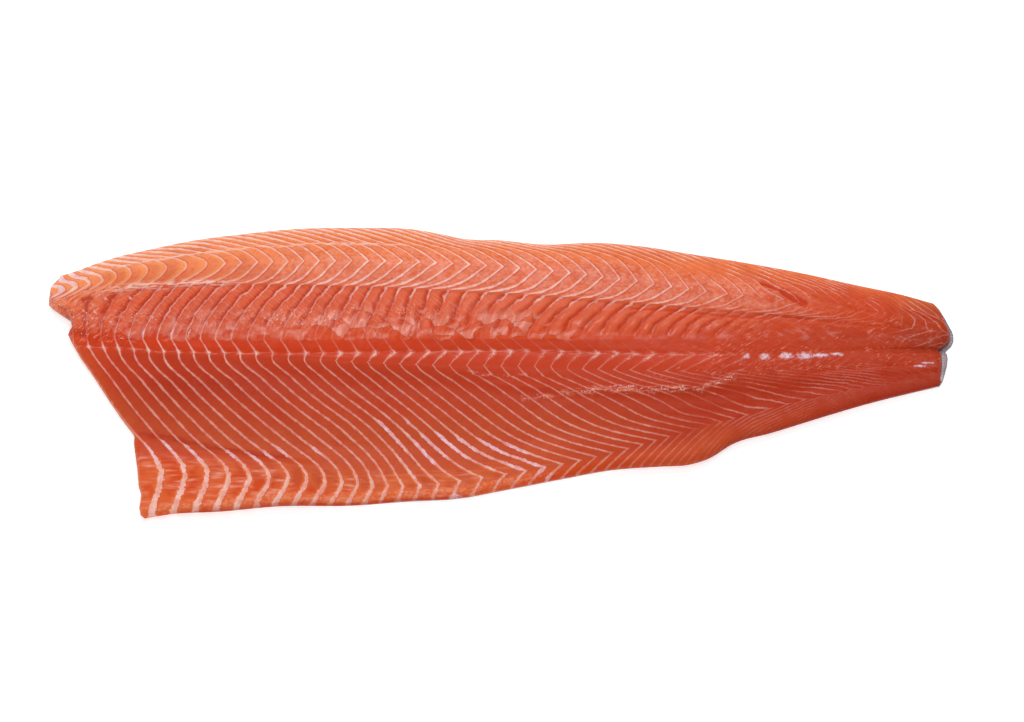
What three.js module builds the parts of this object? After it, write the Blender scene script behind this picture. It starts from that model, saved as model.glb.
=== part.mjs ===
// A raw side of salmon that lies skin down with its cut flesh up.
// Millimetres, +Z up. The head end is at -X, the tail at +X, the back edge at +Y and the belly edge at -Y.
// The flesh is one solid and the skin under it is another, with a thin gap between them.

import * as THREE from 'three';

// ---------------------------------------------------------------- sizes

const SKIN_THICKNESS = 1.3;
const SKIN_GAP = 0.3;
const BED = SKIN_THICKNESS + SKIN_GAP; // height of the flat middle of the flesh's underside

// Height of the flesh along its thickest line, as [x, height].
const CREST_HEIGHT = [
  [-312, 14], [-275, 22], [-240, 27], [-170, 30], [-100, 30.5], [-30, 29.5],
  [40, 27.5], [110, 24], [180, 19], [245, 14], [312, 9],
];

// Outline of the flesh seen from above, as [x, y]. The head cut and the tail end run from back to belly.
const BACK_EDGE = [
  [-302, 67.5], [-293, 70], [-281, 74.5], [-264, 80], [-240, 85.5], [-213, 91.2], [-178, 96], [-137, 100],
  [-96, 100.6], [-60, 99.6], [-41, 96.2], [-26, 92.8], [0, 91.7], [27, 88.8], [68, 90], [96, 87.8],
  [130, 82.5], [164, 77], [205, 69.5], [246, 60.3], [274, 54.3], [297, 47.8],
];
const BELLY_EDGE = [
  [-243, -109], [-226, -106], [-192, -104], [-151, -100], [-103, -99.4], [-62, -96], [-28, -94], [0, -88.5],
  [41, -80], [75, -73.5], [109, -71], [130, -69.5], [143, -65], [159, -54.5], [185, -46.5], [226, -33],
  [253, -24.5], [299.7, -12],
];
const HEAD_CUT = [
  [-302, 67.5], [-304, 65], [-309, 59], [-310, 51], [-310, 46], [-304, 41.5], [-295, 35.5], [-294, 30],
  [-297, 25.5], [-294, 19], [-288, 8], [-278, -7], [-267.5, -24], [-259, -37], [-250.5, -48.5],
  [-251, -54], [-248.5, -73], [-247.5, -86], [-245.5, -91], [-247, -101], [-246, -106.5], [-243, -109],
];
const TAIL_END = [
  [297, 47.8], [299, 46], [304, 38], [306, 32], [308, 27.5], [308.2, 23], [307.2, 19.5], [304.2, 17],
  [300.7, 14], [300.4, 12.7], [302.4, 11], [302.7, 4.5], [302, -2], [301.7, -6.5], [302.2, -9.5],
  [299.7, -12],
];
const SKIN_TAIL_END = [
  [298, 47.8], [301, 44.5], [305, 38], [308, 32], [309.7, 29], [310.7, 25.5], [310.7, 21.5], [309.2, 18],
  [306.2, 15], [304.7, 13.8], [306.2, 12], [306.7, 9], [306.2, 4], [304.7, -2], [303.2, -7.5], [300.2, -12],
];

// Lines that run the length of the side over its upper face, from back to belly. `across` holds [x, y].
// `shares` are the line's height as a part of the crest height at the head end, at MIDDLE and at the tail.
const MIDDLE = -60;
const LENGTH_LINES = [
  { across: BACK_EDGE, shares: [0.6, 0.6, 0.78] },
  { // lower edge of the pale band along the back
    across: [
      [-302, 60.5], [-240, 73], [-137, 84], [-40, 83], [68, 78], [137, 67.5], [246, 51.5], [305, 35.5],
    ],
    shares: [0.8, 0.8, 0.88],
  },
  { // crest of the loin
    across: [[-305, 52], [-240, 64], [-137, 69.5], [-69, 69.5], [68, 60], [137, 51], [246, 41], [305, 31]],
    shares: [1, 1, 1],
  },
  { // foot of the loin, a small ledge over the open channel
    across: [
      [-309, 43], [-274, 49.5], [-220, 53.8], [-137, 53], [0, 47.5], [137, 38.5], [246, 31], [307, 24.5],
    ],
    shares: [0.9, 0.93, 0.97],
  },
  { // lower side of the channel
    across: [[-302, 26], [-274, 20], [-200, 16], [-69, 16.5], [68, 16.8], [192, 17.8], [307, 18]],
    shares: [0.7, 0.71, 0.95],
  },
  { // groove of the backbone
    across: [[-296, 15], [-240, 9], [-137, 6.5], [0, 8], [137, 6.5], [200, 8], [250, 11.5], [305, 12.8]],
    shares: [0.62, 0.63, 0.92],
  },
  { // first rank of rib ends
    across: [
      [-293, 11.5], [-240, 7], [-137, 2.2], [-69, -2], [68, -4.6], [137, -5.8], [200, -2.5], [305, 5.5],
    ],
    shares: [0.58, 0.61, 0.93],
  },
  { // upper side of the belly hollow
    across: [
      [-282, -6], [-240, -13], [-137, -9.5], [-69, -11], [0, -16.5], [68, -20.5], [137, -18], [305, 1],
    ],
    shares: [0.45, 0.46, 0.92],
  },
  { // floor of the belly hollow
    across: [
      [-262, -37], [-200, -48.5], [-69, -49], [0, -46.5], [68, -42], [137, -33.5], [240, -11], [305, -3.5],
    ],
    shares: [0.3, 0.31, 0.9],
  },
  { // strip along the belly
    across: [
      [-249, -70], [-192, -75], [-137, -82], [-69, -87], [0, -79], [68, -65.5], [137, -45], [246, -16],
      [305, -7.5],
    ],
    shares: [0.37, 0.35, 0.86],
  },
  { across: BELLY_EDGE, shares: [0.33, 0.32, 0.8] },
];
const LOIN_FOOT = 3;
const BACKBONE = 5;
const HOLLOW_TOP = 7;

// Rounding of the upper face down to the outermost edge: how wide it is on each side.
const ROUNDING = { back: 10, belly: 6, head: 3.5, tail: 5 };
const NOSE_SHARE = 0.35; // height of the outermost edge between the underside and the unrounded upper face

// The underside is flat in the middle and lifts towards the long edges.
const BACK_LIFT = { share: 0.2, width: 26 };
const BELLY_LIFT = { share: 0.07, width: 14 };

// Relief of the upper face.
const LEDGE = { drop: 1.6, fade: 9, from: -285, to: 250 };
const FLAKES = { relief: 0.9, middle: 0.5, fadeFrom: 60, fadeTo: 190 };
const FLAKE_LEAN = { distance: 22, bend: 1.6, fade: 0.11 };
const GROOVE = { depth: 1, tailDepth: 2.2, width: 2.2, tailFrom: 230, tailTo: 300 };
const TEAR = { height: 1, width: 3, from: -20, to: 165, fade: 30, offset: 1.5 };
const BELLY_LEDGE = { rise: 2.2, width: 3, fadeFrom: -150, fadeTo: -105 };
const BELLY_LEDGE_LINE = [[-252, -48], [-226, -53], [-200, -60], [-178, -64], [-146, -68], [-100, -73]];

// Resolution.
const FLAKE_COUNT = 54;
const COLUMNS_PER_FLAKE = 3;
const COLUMNS = FLAKE_COUNT * COLUMNS_PER_FLAKE;
const UNDER_COLUMNS = 40;
const TOP_ROWS = [
  0, 0.07, 0.28, 0.65, 1.1, 1.6, 2, 2.5, 2.95, 3.05, 3.35, 3.7, 4, 4.6, 4.9, 5.12, 5.6, 6.3, 7, 7.25, 8, 8.3,
  8.5, 9, 9.5, 9.85, 10,
];
const UNDER_ROWS = [0.1, 0.9, 1.9, 3.15, 3.68, 4.05, 5, 7, 8.25, 9.2, 9.5, 9.9];

// ---------------------------------------------------------------- curves

const clamp = (value, low, high) => Math.min(high, Math.max(low, value));
const smoothStep = (value) => {
  const t = clamp(value, 0, 1);
  return t * t * (3 - 2 * t);
};
const ramp = (value, from, to) => smoothStep((value - from) / (to - from));

// Smooth curve through [position, value] points, straight beyond both ends.
function smoothCurve(points) {
  const count = points.length;
  const chord = (i) => (points[i + 1][1] - points[i][1]) / (points[i + 1][0] - points[i][0]);
  const slopes = points.map((point, i) => {
    if (i === 0) return chord(0);
    if (i === count - 1) return chord(count - 2);
    const before = point[0] - points[i - 1][0];
    const after = points[i + 1][0] - point[0];
    return (chord(i - 1) * after + chord(i) * before) / (before + after);
  });
  return (position) => {
    if (position <= points[0][0]) return points[0][1] + (position - points[0][0]) * slopes[0];
    const [lastPosition, lastValue] = points[count - 1];
    if (position >= lastPosition) return lastValue + (position - lastPosition) * slopes[count - 1];
    let i = count - 2;
    while (position < points[i][0]) i -= 1;
    const span = points[i + 1][0] - points[i][0];
    const t = (position - points[i][0]) / span;
    const bend = t * t * (3 - 2 * t);
    return points[i][1] * (1 - bend) + points[i + 1][1] * bend
      + slopes[i] * span * t * (1 - t) * (1 - t) - slopes[i + 1] * span * t * t * (1 - t);
  };
}

// Straight pieces through [x, y] points that run from high y to low y, read as x over y.
function endOverY(points) {
  return (y) => {
    let i = 0;
    while (i < points.length - 2 && y < points[i + 1][1]) i += 1;
    const [x0, y0] = points[i];
    const [x1, y1] = points[i + 1];
    return x0 + (x1 - x0) * clamp((y0 - y) / (y0 - y1), 0, 1);
  };
}

function distanceToPath(path, x, y) {
  let nearest = Infinity;
  for (let i = 0; i + 1 < path.length; i += 1) {
    const dx = path[i + 1][0] - path[i][0];
    const dy = path[i + 1][1] - path[i][1];
    const t = clamp(((x - path[i][0]) * dx + (y - path[i][1]) * dy) / (dx * dx + dy * dy), 0, 1);
    nearest = Math.min(nearest, Math.hypot(path[i][0] + t * dx - x, path[i][1] + t * dy - y));
  }
  return nearest;
}

const crestHeight = smoothCurve(CREST_HEIGHT);
const lineAcross = LENGTH_LINES.map((line) => smoothCurve(line.across));
const bellyLedgeLine = smoothCurve(BELLY_LEDGE_LINE);
const headCut = endOverY(HEAD_CUT);
const tailEnd = endOverY(TAIL_END);
const skinTailEnd = endOverY(SKIN_TAIL_END);

const EDGE_STEP = 5;
function densePath(curve, points) {
  const path = [];
  const last = points[points.length - 1][0];
  for (let x = points[0][0]; x < last; x += EDGE_STEP) path.push([x, curve(x)]);
  path.push([last, curve(last)]);
  return path;
}
const backPath = densePath(lineAcross[0], BACK_EDGE);
const bellyPath = densePath(lineAcross[LENGTH_LINES.length - 1], BELLY_EDGE);

// ---------------------------------------------------------------- faces

const HEAD_X = -310;
const TAIL_X = 310;
const TAIL_BEND = 1.6;

function lineHeight(line, x) {
  const [head, middle, tail] = LENGTH_LINES[line].shares;
  const fromHead = clamp((x - HEAD_X) / (MIDDLE - HEAD_X), 0, 1);
  const toTail = clamp((x - MIDDLE) / (TAIL_X - MIDDLE), 0, 1) ** TAIL_BEND;
  return crestHeight(x) * (head + (middle - head) * fromHead + (tail - middle) * toTail);
}

// Place across the side of a row, where whole rows are the length lines.
function rowAcross(row, x) {
  const line = Math.min(Math.floor(row), LENGTH_LINES.length - 2);
  const upper = lineAcross[line](x);
  return upper + (lineAcross[line + 1](x) - upper) * (row - line);
}

function underHeight(x, y) {
  const lift = (path, { share, width }) => (
    crestHeight(x) * share * Math.max(0, 1 - distanceToPath(path, x, y) / width) ** 2
  );
  return BED + lift(backPath, BACK_LIFT) + lift(bellyPath, BELLY_LIFT);
}

// The flakes of the open channel: one rounded rib for each COLUMNS_PER_FLAKE columns of the upper face.
function flakeRelief(row, x, along) {
  const part = clamp(row - LOIN_FOOT, 0, 1);
  const rib = Math.abs(Math.sin(Math.PI * FLAKE_COUNT * along)) - FLAKES.middle;
  const tailFade = 1 - ramp(x, FLAKES.fadeFrom, FLAKES.fadeTo);
  return FLAKES.relief * rib * Math.sqrt(Math.sin(Math.PI * part)) * tailFade;
}

// How far a row's columns are moved towards the head, so that they run down the leaning flakes.
function flakeLean(row, along) {
  const part = clamp(row - LOIN_FOOT, 0, 1);
  const ends = ramp(along, 0, FLAKE_LEAN.fade) * ramp(1 - along, 0, FLAKE_LEAN.fade);
  return FLAKE_LEAN.distance * ends * (1 - (1 - part) ** FLAKE_LEAN.bend);
}

// Other small forms on the upper face: the ledges, the groove of the backbone and the torn seam.
function relief(x, y) {
  const loinFoot = lineAcross[LOIN_FOOT](x);
  const backbone = lineAcross[BACKBONE](x);
  let height = 0;

  if (y < loinFoot) {
    const inside = ramp(x, LEDGE.from, LEDGE.from + LEDGE.fade) * (1 - ramp(x, FLAKES.fadeTo, LEDGE.to));
    height -= LEDGE.drop * inside * Math.exp((y - loinFoot) / LEDGE.fade);
  }
  const towardsTail = ramp(x, GROOVE.tailFrom, GROOVE.tailTo);
  const grooveDepth = GROOVE.depth + (GROOVE.tailDepth - GROOVE.depth) * towardsTail;
  height -= grooveDepth * Math.exp(-(((y - backbone) / GROOVE.width) ** 2));

  const tearFade = ramp(x, TEAR.from, TEAR.from + TEAR.fade) * (1 - ramp(x, TEAR.to - TEAR.fade, TEAR.to));
  const fromTear = (y - lineAcross[HOLLOW_TOP](x) - TEAR.offset) / TEAR.width;
  height += TEAR.height * tearFade * Math.exp(-(fromTear ** 2));

  const onStrip = smoothStep((bellyLedgeLine(x) - y) / BELLY_LEDGE.width);
  height += BELLY_LEDGE.rise * onStrip * (1 - ramp(x, BELLY_LEDGE.fadeFrom, BELLY_LEDGE.fadeTo));
  return height;
}

function bodyHeight(x, y) {
  const section = lineAcross.map((across, line) => [-across(x), lineHeight(line, x)]);
  return smoothCurve(section)(-y);
}

function topHeight(x, y, flake) {
  const rounding = (path, width) => {
    const inward = clamp(distanceToPath(path, x, y) / width, 0, 1);
    return Math.sqrt(1 - (1 - inward) ** 2);
  };
  const fullness = rounding(backPath, ROUNDING.back) * rounding(bellyPath, ROUNDING.belly)
    * rounding(HEAD_CUT, ROUNDING.head) * rounding(TAIL_END, ROUNDING.tail);
  const under = underHeight(x, y);
  const body = bodyHeight(x, y) + relief(x, y) + flake;
  const nose = under + NOSE_SHARE * (body - under);
  return nose + (body - nose) * fullness;
}

// X of a row's end, where the row meets an end curve.
const MEETING_STEPS = 30;
function meetEnd(row, endCurve, start) {
  let x = start;
  for (let step = 0; step < MEETING_STEPS; step += 1) x = endCurve(rowAcross(row, x));
  return x;
}

function gridOf(columns, rows, pointAt) {
  return rows.map((row) => {
    const head = meetEnd(row, headCut, HEAD_X);
    const tail = meetEnd(row, tailEnd, TAIL_X);
    return columns.map((along) => pointAt(row, head + (tail - head) * along, along));
  });
}

const evenColumns = (count) => Array.from({ length: count + 1 }, (_, i) => i / count);

function topGrid() {
  return gridOf(evenColumns(COLUMNS), TOP_ROWS, (row, evenX, along) => {
    const x = evenX - flakeLean(row, along);
    const y = rowAcross(row, x);
    return new THREE.Vector3(x, y, topHeight(x, y, flakeRelief(row, x, along)));
  });
}

function underPoint(row, x) {
  const y = rowAcross(row, x);
  return new THREE.Vector3(x, y, underHeight(x, y));
}

// The underside of the flesh, moved outward by a distance along its own normal.
const NORMAL_STEP = 0.5;
function offsetUnder(row, x, distance) {
  const point = underPoint(row, x);
  const along = new THREE.Vector3(NORMAL_STEP, 0, underHeight(point.x + NORMAL_STEP, point.y) - point.z);
  const across = new THREE.Vector3(0, NORMAL_STEP, underHeight(point.x, point.y + NORMAL_STEP) - point.z);
  const outward = across.cross(along).normalize();
  return point.addScaledVector(outward, distance);
}

function skinGrid(distance) {
  return UNDER_ROWS.map((row) => {
    const head = meetEnd(row, headCut, HEAD_X);
    const tail = meetEnd(row, tailEnd, TAIL_X);
    const skinTail = meetEnd(row, skinTailEnd, TAIL_X);
    const placesAlong = evenColumns(UNDER_COLUMNS).map((along) => head + (tail - head) * along);
    return [...placesAlong, skinTail].map((x) => offsetUnder(row, x, distance));
  });
}

// ---------------------------------------------------------------- solids

// Rim of a grid as indices, once round by back, tail, belly and head. `turn` counts the sides passed.
const AFTER_BACK = 1;
const AFTER_BELLY = 3;
const FULL_TURN = 4;
function rimOf(grid, rowParts, columnParts) {
  const lastRow = grid.length - 1;
  const lastColumn = grid[0].length - 1;
  const rim = [];
  const pass = (row, column, turn) => rim.push({ row, column, turn });
  for (let c = 0; c < lastColumn; c += 1) pass(0, c, columnParts[c]);
  for (let r = 0; r < lastRow; r += 1) pass(r, lastColumn, AFTER_BACK + rowParts[r]);
  for (let c = lastColumn; c > 0; c -= 1) pass(lastRow, c, AFTER_BELLY - columnParts[c]);
  for (let r = lastRow; r > 0; r -= 1) pass(r, 0, FULL_TURN - rowParts[r]);
  return rim;
}

function partsOf(values) {
  const first = values[0];
  const span = values[values.length - 1] - first;
  return values.map((value) => (value - first) / span);
}

// Closed solid between an upper and a lower grid, which may have different numbers of rows and columns.
function solidBetween(upper, lower, upperRows, lowerRows, upperColumns, lowerColumns) {
  const vertices = [];
  const faces = [];
  const addGrid = (grid) => {
    const start = vertices.length;
    grid.forEach((line) => vertices.push(...line));
    return (row, column) => start + row * grid[0].length + column;
  };
  const upperIndex = addGrid(upper);
  const lowerIndex = addGrid(lower);
  const coverGrid = (grid, index, facesUp) => {
    for (let r = 0; r + 1 < grid.length; r += 1) {
      for (let c = 0; c + 1 < grid[0].length; c += 1) {
        const corners = [index(r, c), index(r + 1, c), index(r + 1, c + 1), index(r, c + 1)];
        if (!facesUp) corners.reverse();
        const [a, b, p, q] = corners;
        const shortFirst = vertices[a].distanceTo(vertices[p]) < vertices[b].distanceTo(vertices[q]);
        faces.push(...(shortFirst ? [a, b, p, a, p, q] : [a, b, q, b, p, q]));
      }
    }
  };
  coverGrid(upper, upperIndex, true);
  coverGrid(lower, lowerIndex, false);

  const upperRim = rimOf(upper, partsOf(upperRows), partsOf(upperColumns));
  const lowerRim = rimOf(lower, partsOf(lowerRows), partsOf(lowerColumns));
  const turnAt = (rim, i) => (i < rim.length ? rim[i].turn : FULL_TURN);
  let i = 0;
  let j = 0;
  while (i < upperRim.length || j < lowerRim.length) {
    const above = upperRim[i % upperRim.length];
    const below = lowerRim[j % lowerRim.length];
    const a = upperIndex(above.row, above.column);
    const b = lowerIndex(below.row, below.column);
    const upperFirst = turnAt(upperRim, i + 1) <= turnAt(lowerRim, j + 1);
    if (j >= lowerRim.length || (i < upperRim.length && upperFirst)) {
      const next = upperRim[(i + 1) % upperRim.length];
      faces.push(a, upperIndex(next.row, next.column), b);
      i += 1;
    } else {
      const next = lowerRim[(j + 1) % lowerRim.length];
      faces.push(a, lowerIndex(next.row, next.column), b);
      j += 1;
    }
  }
  const geometry = new THREE.BufferGeometry();
  const coordinates = vertices.flatMap((vertex) => vertex.toArray());
  geometry.setAttribute('position', new THREE.Float32BufferAttribute(coordinates, 3));
  geometry.setIndex(faces);
  geometry.computeVertexNormals();
  return geometry;
}

function buildFlesh() {
  const topColumns = evenColumns(COLUMNS);
  const underColumns = evenColumns(UNDER_COLUMNS);
  const underGrid = gridOf(underColumns, UNDER_ROWS, underPoint);
  return solidBetween(topGrid(), underGrid, TOP_ROWS, UNDER_ROWS, topColumns, underColumns);
}

function buildSkin() {
  const columns = evenColumns(UNDER_COLUMNS + 1);
  const inner = skinGrid(SKIN_GAP);
  const outer = skinGrid(SKIN_GAP + SKIN_THICKNESS);
  return solidBetween(inner, outer, UNDER_ROWS, UNDER_ROWS, columns, columns);
}

// ---------------------------------------------------------------- the part

const fleshMaterial = new THREE.MeshStandardMaterial({ color: '#d0634a', roughness: 0.42, metalness: 0 });
const skinMaterial = new THREE.MeshStandardMaterial({ color: '#8d8a93', roughness: 0.35, metalness: 0.1 });

const flesh = new THREE.Mesh(buildFlesh(), fleshMaterial);
flesh.name = 'flesh';
const skin = new THREE.Mesh(buildSkin(), skinMaterial);
skin.name = 'skin';

// The origin is under the middle of the part, on the plane it rests on.
const extent = new THREE.Box3().setFromObject(flesh).expandByObject(skin);
const middle = extent.getCenter(new THREE.Vector3());
[flesh, skin].forEach((mesh) => mesh.geometry.translate(-middle.x, -middle.y, -extent.min.z));

const salmonSide = new THREE.Group();
salmonSide.name = 'salmon_side';
salmonSide.add(flesh, skin);

export default salmonSide;
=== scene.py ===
from collections import namedtuple

import bpy
import numpy as np
from bpy.props import FloatProperty, FloatVectorProperty, IntProperty, PointerProperty
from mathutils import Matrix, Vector


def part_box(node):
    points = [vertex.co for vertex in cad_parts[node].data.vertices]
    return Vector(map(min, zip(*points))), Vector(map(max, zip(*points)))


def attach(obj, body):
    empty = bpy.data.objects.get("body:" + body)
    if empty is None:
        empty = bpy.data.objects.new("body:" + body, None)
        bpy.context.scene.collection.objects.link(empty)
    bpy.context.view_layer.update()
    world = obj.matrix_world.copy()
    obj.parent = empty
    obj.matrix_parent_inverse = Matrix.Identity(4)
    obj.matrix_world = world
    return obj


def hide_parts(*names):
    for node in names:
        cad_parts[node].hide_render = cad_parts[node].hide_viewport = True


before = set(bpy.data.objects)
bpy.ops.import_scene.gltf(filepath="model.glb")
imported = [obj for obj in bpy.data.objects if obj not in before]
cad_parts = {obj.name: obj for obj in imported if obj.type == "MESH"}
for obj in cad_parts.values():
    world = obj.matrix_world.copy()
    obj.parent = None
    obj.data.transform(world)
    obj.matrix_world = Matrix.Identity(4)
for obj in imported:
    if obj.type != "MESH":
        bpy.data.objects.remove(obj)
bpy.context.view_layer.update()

bl_info = {
    "name": "Raw Side of Salmon",
    "version": (1, 0, 0),
    "blender": (4, 5, 0),
    "location": "View3D > Sidebar > Salmon",
    "description": "A raw side of salmon that lies skin down with its cut flesh up",
    "category": "Add Mesh",
}

BODY = "root"

# ------------------------------------------------------------------ the form
# Millimetres, as in the solid. The head end is at -X, the tail at +X, the back edge at +Y and the belly
# edge at -Y.

SKIN_THICKNESS = 1.3
SKIN_GAP = 0.3
BED = SKIN_THICKNESS + SKIN_GAP

# Height of the flesh along its thickest line, as (x, height).
CREST_HEIGHT = [
    (-312, 14), (-275, 22), (-240, 27), (-170, 30), (-100, 30.5), (-30, 29.5),
    (40, 27.5), (110, 24), (180, 19), (245, 14), (312, 9),
]

# Outline of the flesh seen from above.
BACK_EDGE = [
    (-302, 67.5), (-293, 70), (-281, 74.5), (-264, 80), (-240, 85.5), (-213, 91.2), (-178, 96), (-137, 100),
    (-96, 100.6), (-60, 99.6), (-41, 96.2), (-26, 92.8), (0, 91.7), (27, 88.8), (68, 90), (96, 87.8),
    (130, 82.5), (164, 77), (205, 69.5), (246, 60.3), (274, 54.3), (297, 47.8),
]
BELLY_EDGE = [
    (-243, -109), (-226, -106), (-192, -104), (-151, -100), (-103, -99.4), (-62, -96), (-28, -94), (0, -88.5),
    (41, -80), (75, -73.5), (109, -71), (130, -69.5), (143, -65), (159, -54.5), (185, -46.5), (226, -33),
    (253, -24.5), (299.7, -12),
]
HEAD_CUT = [
    (-302, 67.5), (-304, 65), (-309, 59), (-310, 51), (-310, 46), (-304, 41.5), (-295, 35.5), (-294, 30),
    (-297, 25.5), (-294, 19), (-288, 8), (-278, -7), (-267.5, -24), (-259, -37), (-250.5, -48.5),
    (-251, -54), (-248.5, -73), (-247.5, -86), (-245.5, -91), (-247, -101), (-246, -106.5), (-243, -109),
]
TAIL_END = [
    (297, 47.8), (299, 46), (304, 38), (306, 32), (308, 27.5), (308.2, 23), (307.2, 19.5), (304.2, 17),
    (300.7, 14), (300.4, 12.7), (302.4, 11), (302.7, 4.5), (302, -2), (301.7, -6.5), (302.2, -9.5),
    (299.7, -12),
]
SKIN_TAIL_END = [
    (298, 47.8), (301, 44.5), (305, 38), (308, 32), (309.7, 29), (310.7, 25.5), (310.7, 21.5), (309.2, 18),
    (306.2, 15), (304.7, 13.8), (306.2, 12), (306.7, 9), (306.2, 4), (304.7, -2), (303.2, -7.5), (300.2, -12),
]

# Lines that run the length of the side, from back to belly. `across` holds (x, y) and `shares` the line's
# height as a part of the crest height at the head end, at MIDDLE and at the tail. `sheets` counts the fat
# sheets between the flakes from the head end to each of SHEET_STATIONS. `fat` is the width in millimetres of
# the sheets' cut edges on the line at each of STATIONS, and `white` is how pale they are there.
MIDDLE = -60
HEAD_X = -310
TAIL_X = 310
TAIL_BEND = 1.6
SHEET_STATIONS = (-300, -250, -190, -120, -50, 20, 90, 160, 230, 300)
STATIONS = (-300, -265, -225, -130, 30, 140, 250)

Line = namedtuple("Line", "across shares sheets fat white")
LINES = [
    Line(BACK_EDGE, (0.6, 0.6, 0.78),  # 0, back edge
         (1.4, 8.8, 14.7, 22.0, 28.8, 33.9, 40.1, 46.2, 52.9, 59.8),
         (3.8, 2.6, 2.5, 2.1, 1.6, 1.2, 1), (1, 0.9, 0.9, 0.85, 0.7, 0.5, 0.3)),
    Line([(-302, 60.5), (-240, 73), (-137, 84), (-40, 83), (68, 78), (137, 67.5), (246, 51.5), (305, 35.5)],
         (0.8, 0.8, 0.88),  # 1, lower edge of the pale band along the back
         (1.0, 5.8, 11.3, 18.0, 24.6, 31.3, 36.2, 42.4, 48.8, 58.2),
         (3.6, 1.8, 1.1, 0.9, 0.8, 0.6, 0.5), (1, 0.75, 0.6, 0.65, 0.55, 0.4, 0.25)),
    Line([(-305, 52), (-240, 64), (-137, 69.5), (-69, 69.5), (68, 60), (137, 51), (246, 41), (305, 31)],
         (1, 1, 1),  # 2, crest of the loin
         (0.1, 5.3, 9.9, 16.4, 22.5, 28.6, 34.7, 40.5, 46.5, 56.4),
         (3.8, 0.9, 0.9, 1.1, 1, 0.8, 0.5), (1, 0.3, 0.5, 0.85, 0.85, 0.5, 0.15)),
    Line([(-309, 43), (-274, 49.5), (-220, 53.8), (-137, 53), (0, 47.5), (137, 38.5), (246, 31), (307, 24.5)],
         (0.9, 0.93, 0.97),  # 3, foot of the loin
         (4.1, 6.6, 12.0, 18.7, 25.8, 31.2, 37.0, 43.0, 49.9, 55.6),
         (1.6, 0.9, 0.9, 1.4, 1.5, 1.1, 0.6), (0.5, 0.3, 0.4, 0.7, 0.7, 0.45, 0.05)),
    Line([(-302, 26), (-274, 20), (-200, 16), (-69, 16.5), (68, 16.8), (192, 17.8), (307, 18)],
         (0.7, 0.71, 0.95),  # 4, lower side of the open channel
         (3.3, 8.5, 14.5, 20.6, 26.6, 33.1, 38.8, 45.4, 51.9, 56.6),
         (0.6, 0.8, 0.8, 0.7, 0.6, 0.5, 0.5), (0.4, 0.55, 0.5, 0.12, 0.04, 0, 0)),
    Line([(-296, 15), (-240, 9), (-137, 6.5), (0, 8), (137, 6.5), (200, 8), (250, 11.5), (305, 12.8)],
         (0.62, 0.63, 0.92),  # 5, groove of the backbone
         (3.3, 8.1, 13.9, 20.1, 25.9, 32.1, 37.8, 43.0, 49.1, 59),
         (1, 1.1, 1.2, 0.9, 0.7, 0.6, 0.5), (0.65, 0.7, 0.7, 0.35, 0.12, 0.05, 0)),
    Line([(-293, 11.5), (-240, 7), (-137, 2.2), (-69, -2), (68, -4.6), (137, -5.8), (200, -2.5), (305, 5.5)],
         (0.58, 0.61, 0.93),  # 6, first rank of rib ends
         (3.0, 8.1, 13.9, 20.3, 26.6, 32.6, 39.1, 44.7, 50.9, 58.6),
         (1, 1.1, 1.1, 0.8, 0.6, 0.6, 0.5), (0.5, 0.55, 0.6, 0.5, 0.3, 0.25, 0.05)),
    Line([(-282, -6), (-240, -13), (-137, -9.5), (-69, -11), (0, -16.5), (68, -20.5), (137, -18), (305, 1)],
         (0.45, 0.46, 0.92),  # 7, upper side of the belly hollow
         (2.1, 6.5, 12.3, 19.2, 25.4, 30.7, 35.7, 40.6, 46.6, 54.9),
         (0.9, 1.2, 1.4, 1.1, 0.9, 0.7, 0.6), (0.34, 0.35, 0.36, 0.34, 0.32, 0.22, 0.12)),
    Line([(-262, -37), (-200, -48.5), (-69, -49), (0, -46.5), (68, -42), (137, -33.5), (240, -11),
          (305, -3.5)], (0.3, 0.31, 0.9),  # 8, floor of the belly hollow
         (1.4, 4.5, 8.9, 14.5, 21.4, 27.6, 33.1, 38.6, 44.6, 54.3),
         (0.9, 1.2, 1.5, 1.5, 1.2, 0.9, 0.7), (0.34, 0.36, 0.38, 0.4, 0.42, 0.3, 0.1)),
    Line([(-249, -70), (-192, -75), (-137, -82), (-69, -87), (0, -79), (68, -65.5), (137, -45), (246, -16),
          (305, -7.5)], (0.37, 0.35, 0.86),  # 9, strip along the belly
         (0.9, 3.1, 6.8, 12.0, 18.4, 23.2, 29.3, 36.9, 42.9, 49.6),
         (1.8, 2.3, 3.1, 2.5, 1.4, 0.9, 0.7), (0.65, 0.72, 0.78, 0.62, 0.48, 0.14, 0.06)),
    Line(BELLY_EDGE, (0.33, 0.32, 0.8),  # 10, belly edge
         (-0.3, 3.2, 7.3, 12.7, 18.7, 24.0, 31.2, 42.4, 51.0, 57.7),
         (5, 5, 4.6, 3.4, 1.5, 0.9, 0.7), (0.72, 0.75, 0.8, 0.58, 0.3, 0.05, 0.02)),
]
CREST, LOIN_FOOT, CHANNEL_SIDE, BACKBONE, RIB_ENDS, HOLLOW_TOP, STRIP = 2, 3, 4, 5, 6, 7, 9
LAST_LINE = len(LINES) - 1

# The fat sheets are thin up to the step of the belly strip: row, width and paleness at each of STATIONS.
STRIP_TOP = {"row": 8.75, "fat": (1, 1.1, 1.3, 1.5, 1.2, 0.9, 0.7),
             "white": (0.35, 0.38, 0.42, 0.48, 0.45, 0.3, 0.08)}

# From the first x to the second, the rounded tips of the sheets on these lines turn pointed.
POINTED_TIPS = {CREST: (-205, -175), RIB_ENDS: (30, 70), STRIP: (-110, -50)}
# Exponents that bend the sheets on both sides of the crest and below the foot of the loin.
TIP_BENDS = {"pointed above": 0.62, "round above": 2, "pointed below": 6, "round below": 1.8, "foot": 1.6}
STRAIGHT_SHARE = 0.6  # of the pointed sheets below the crest
WIDEST_FLAKE = 30

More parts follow.
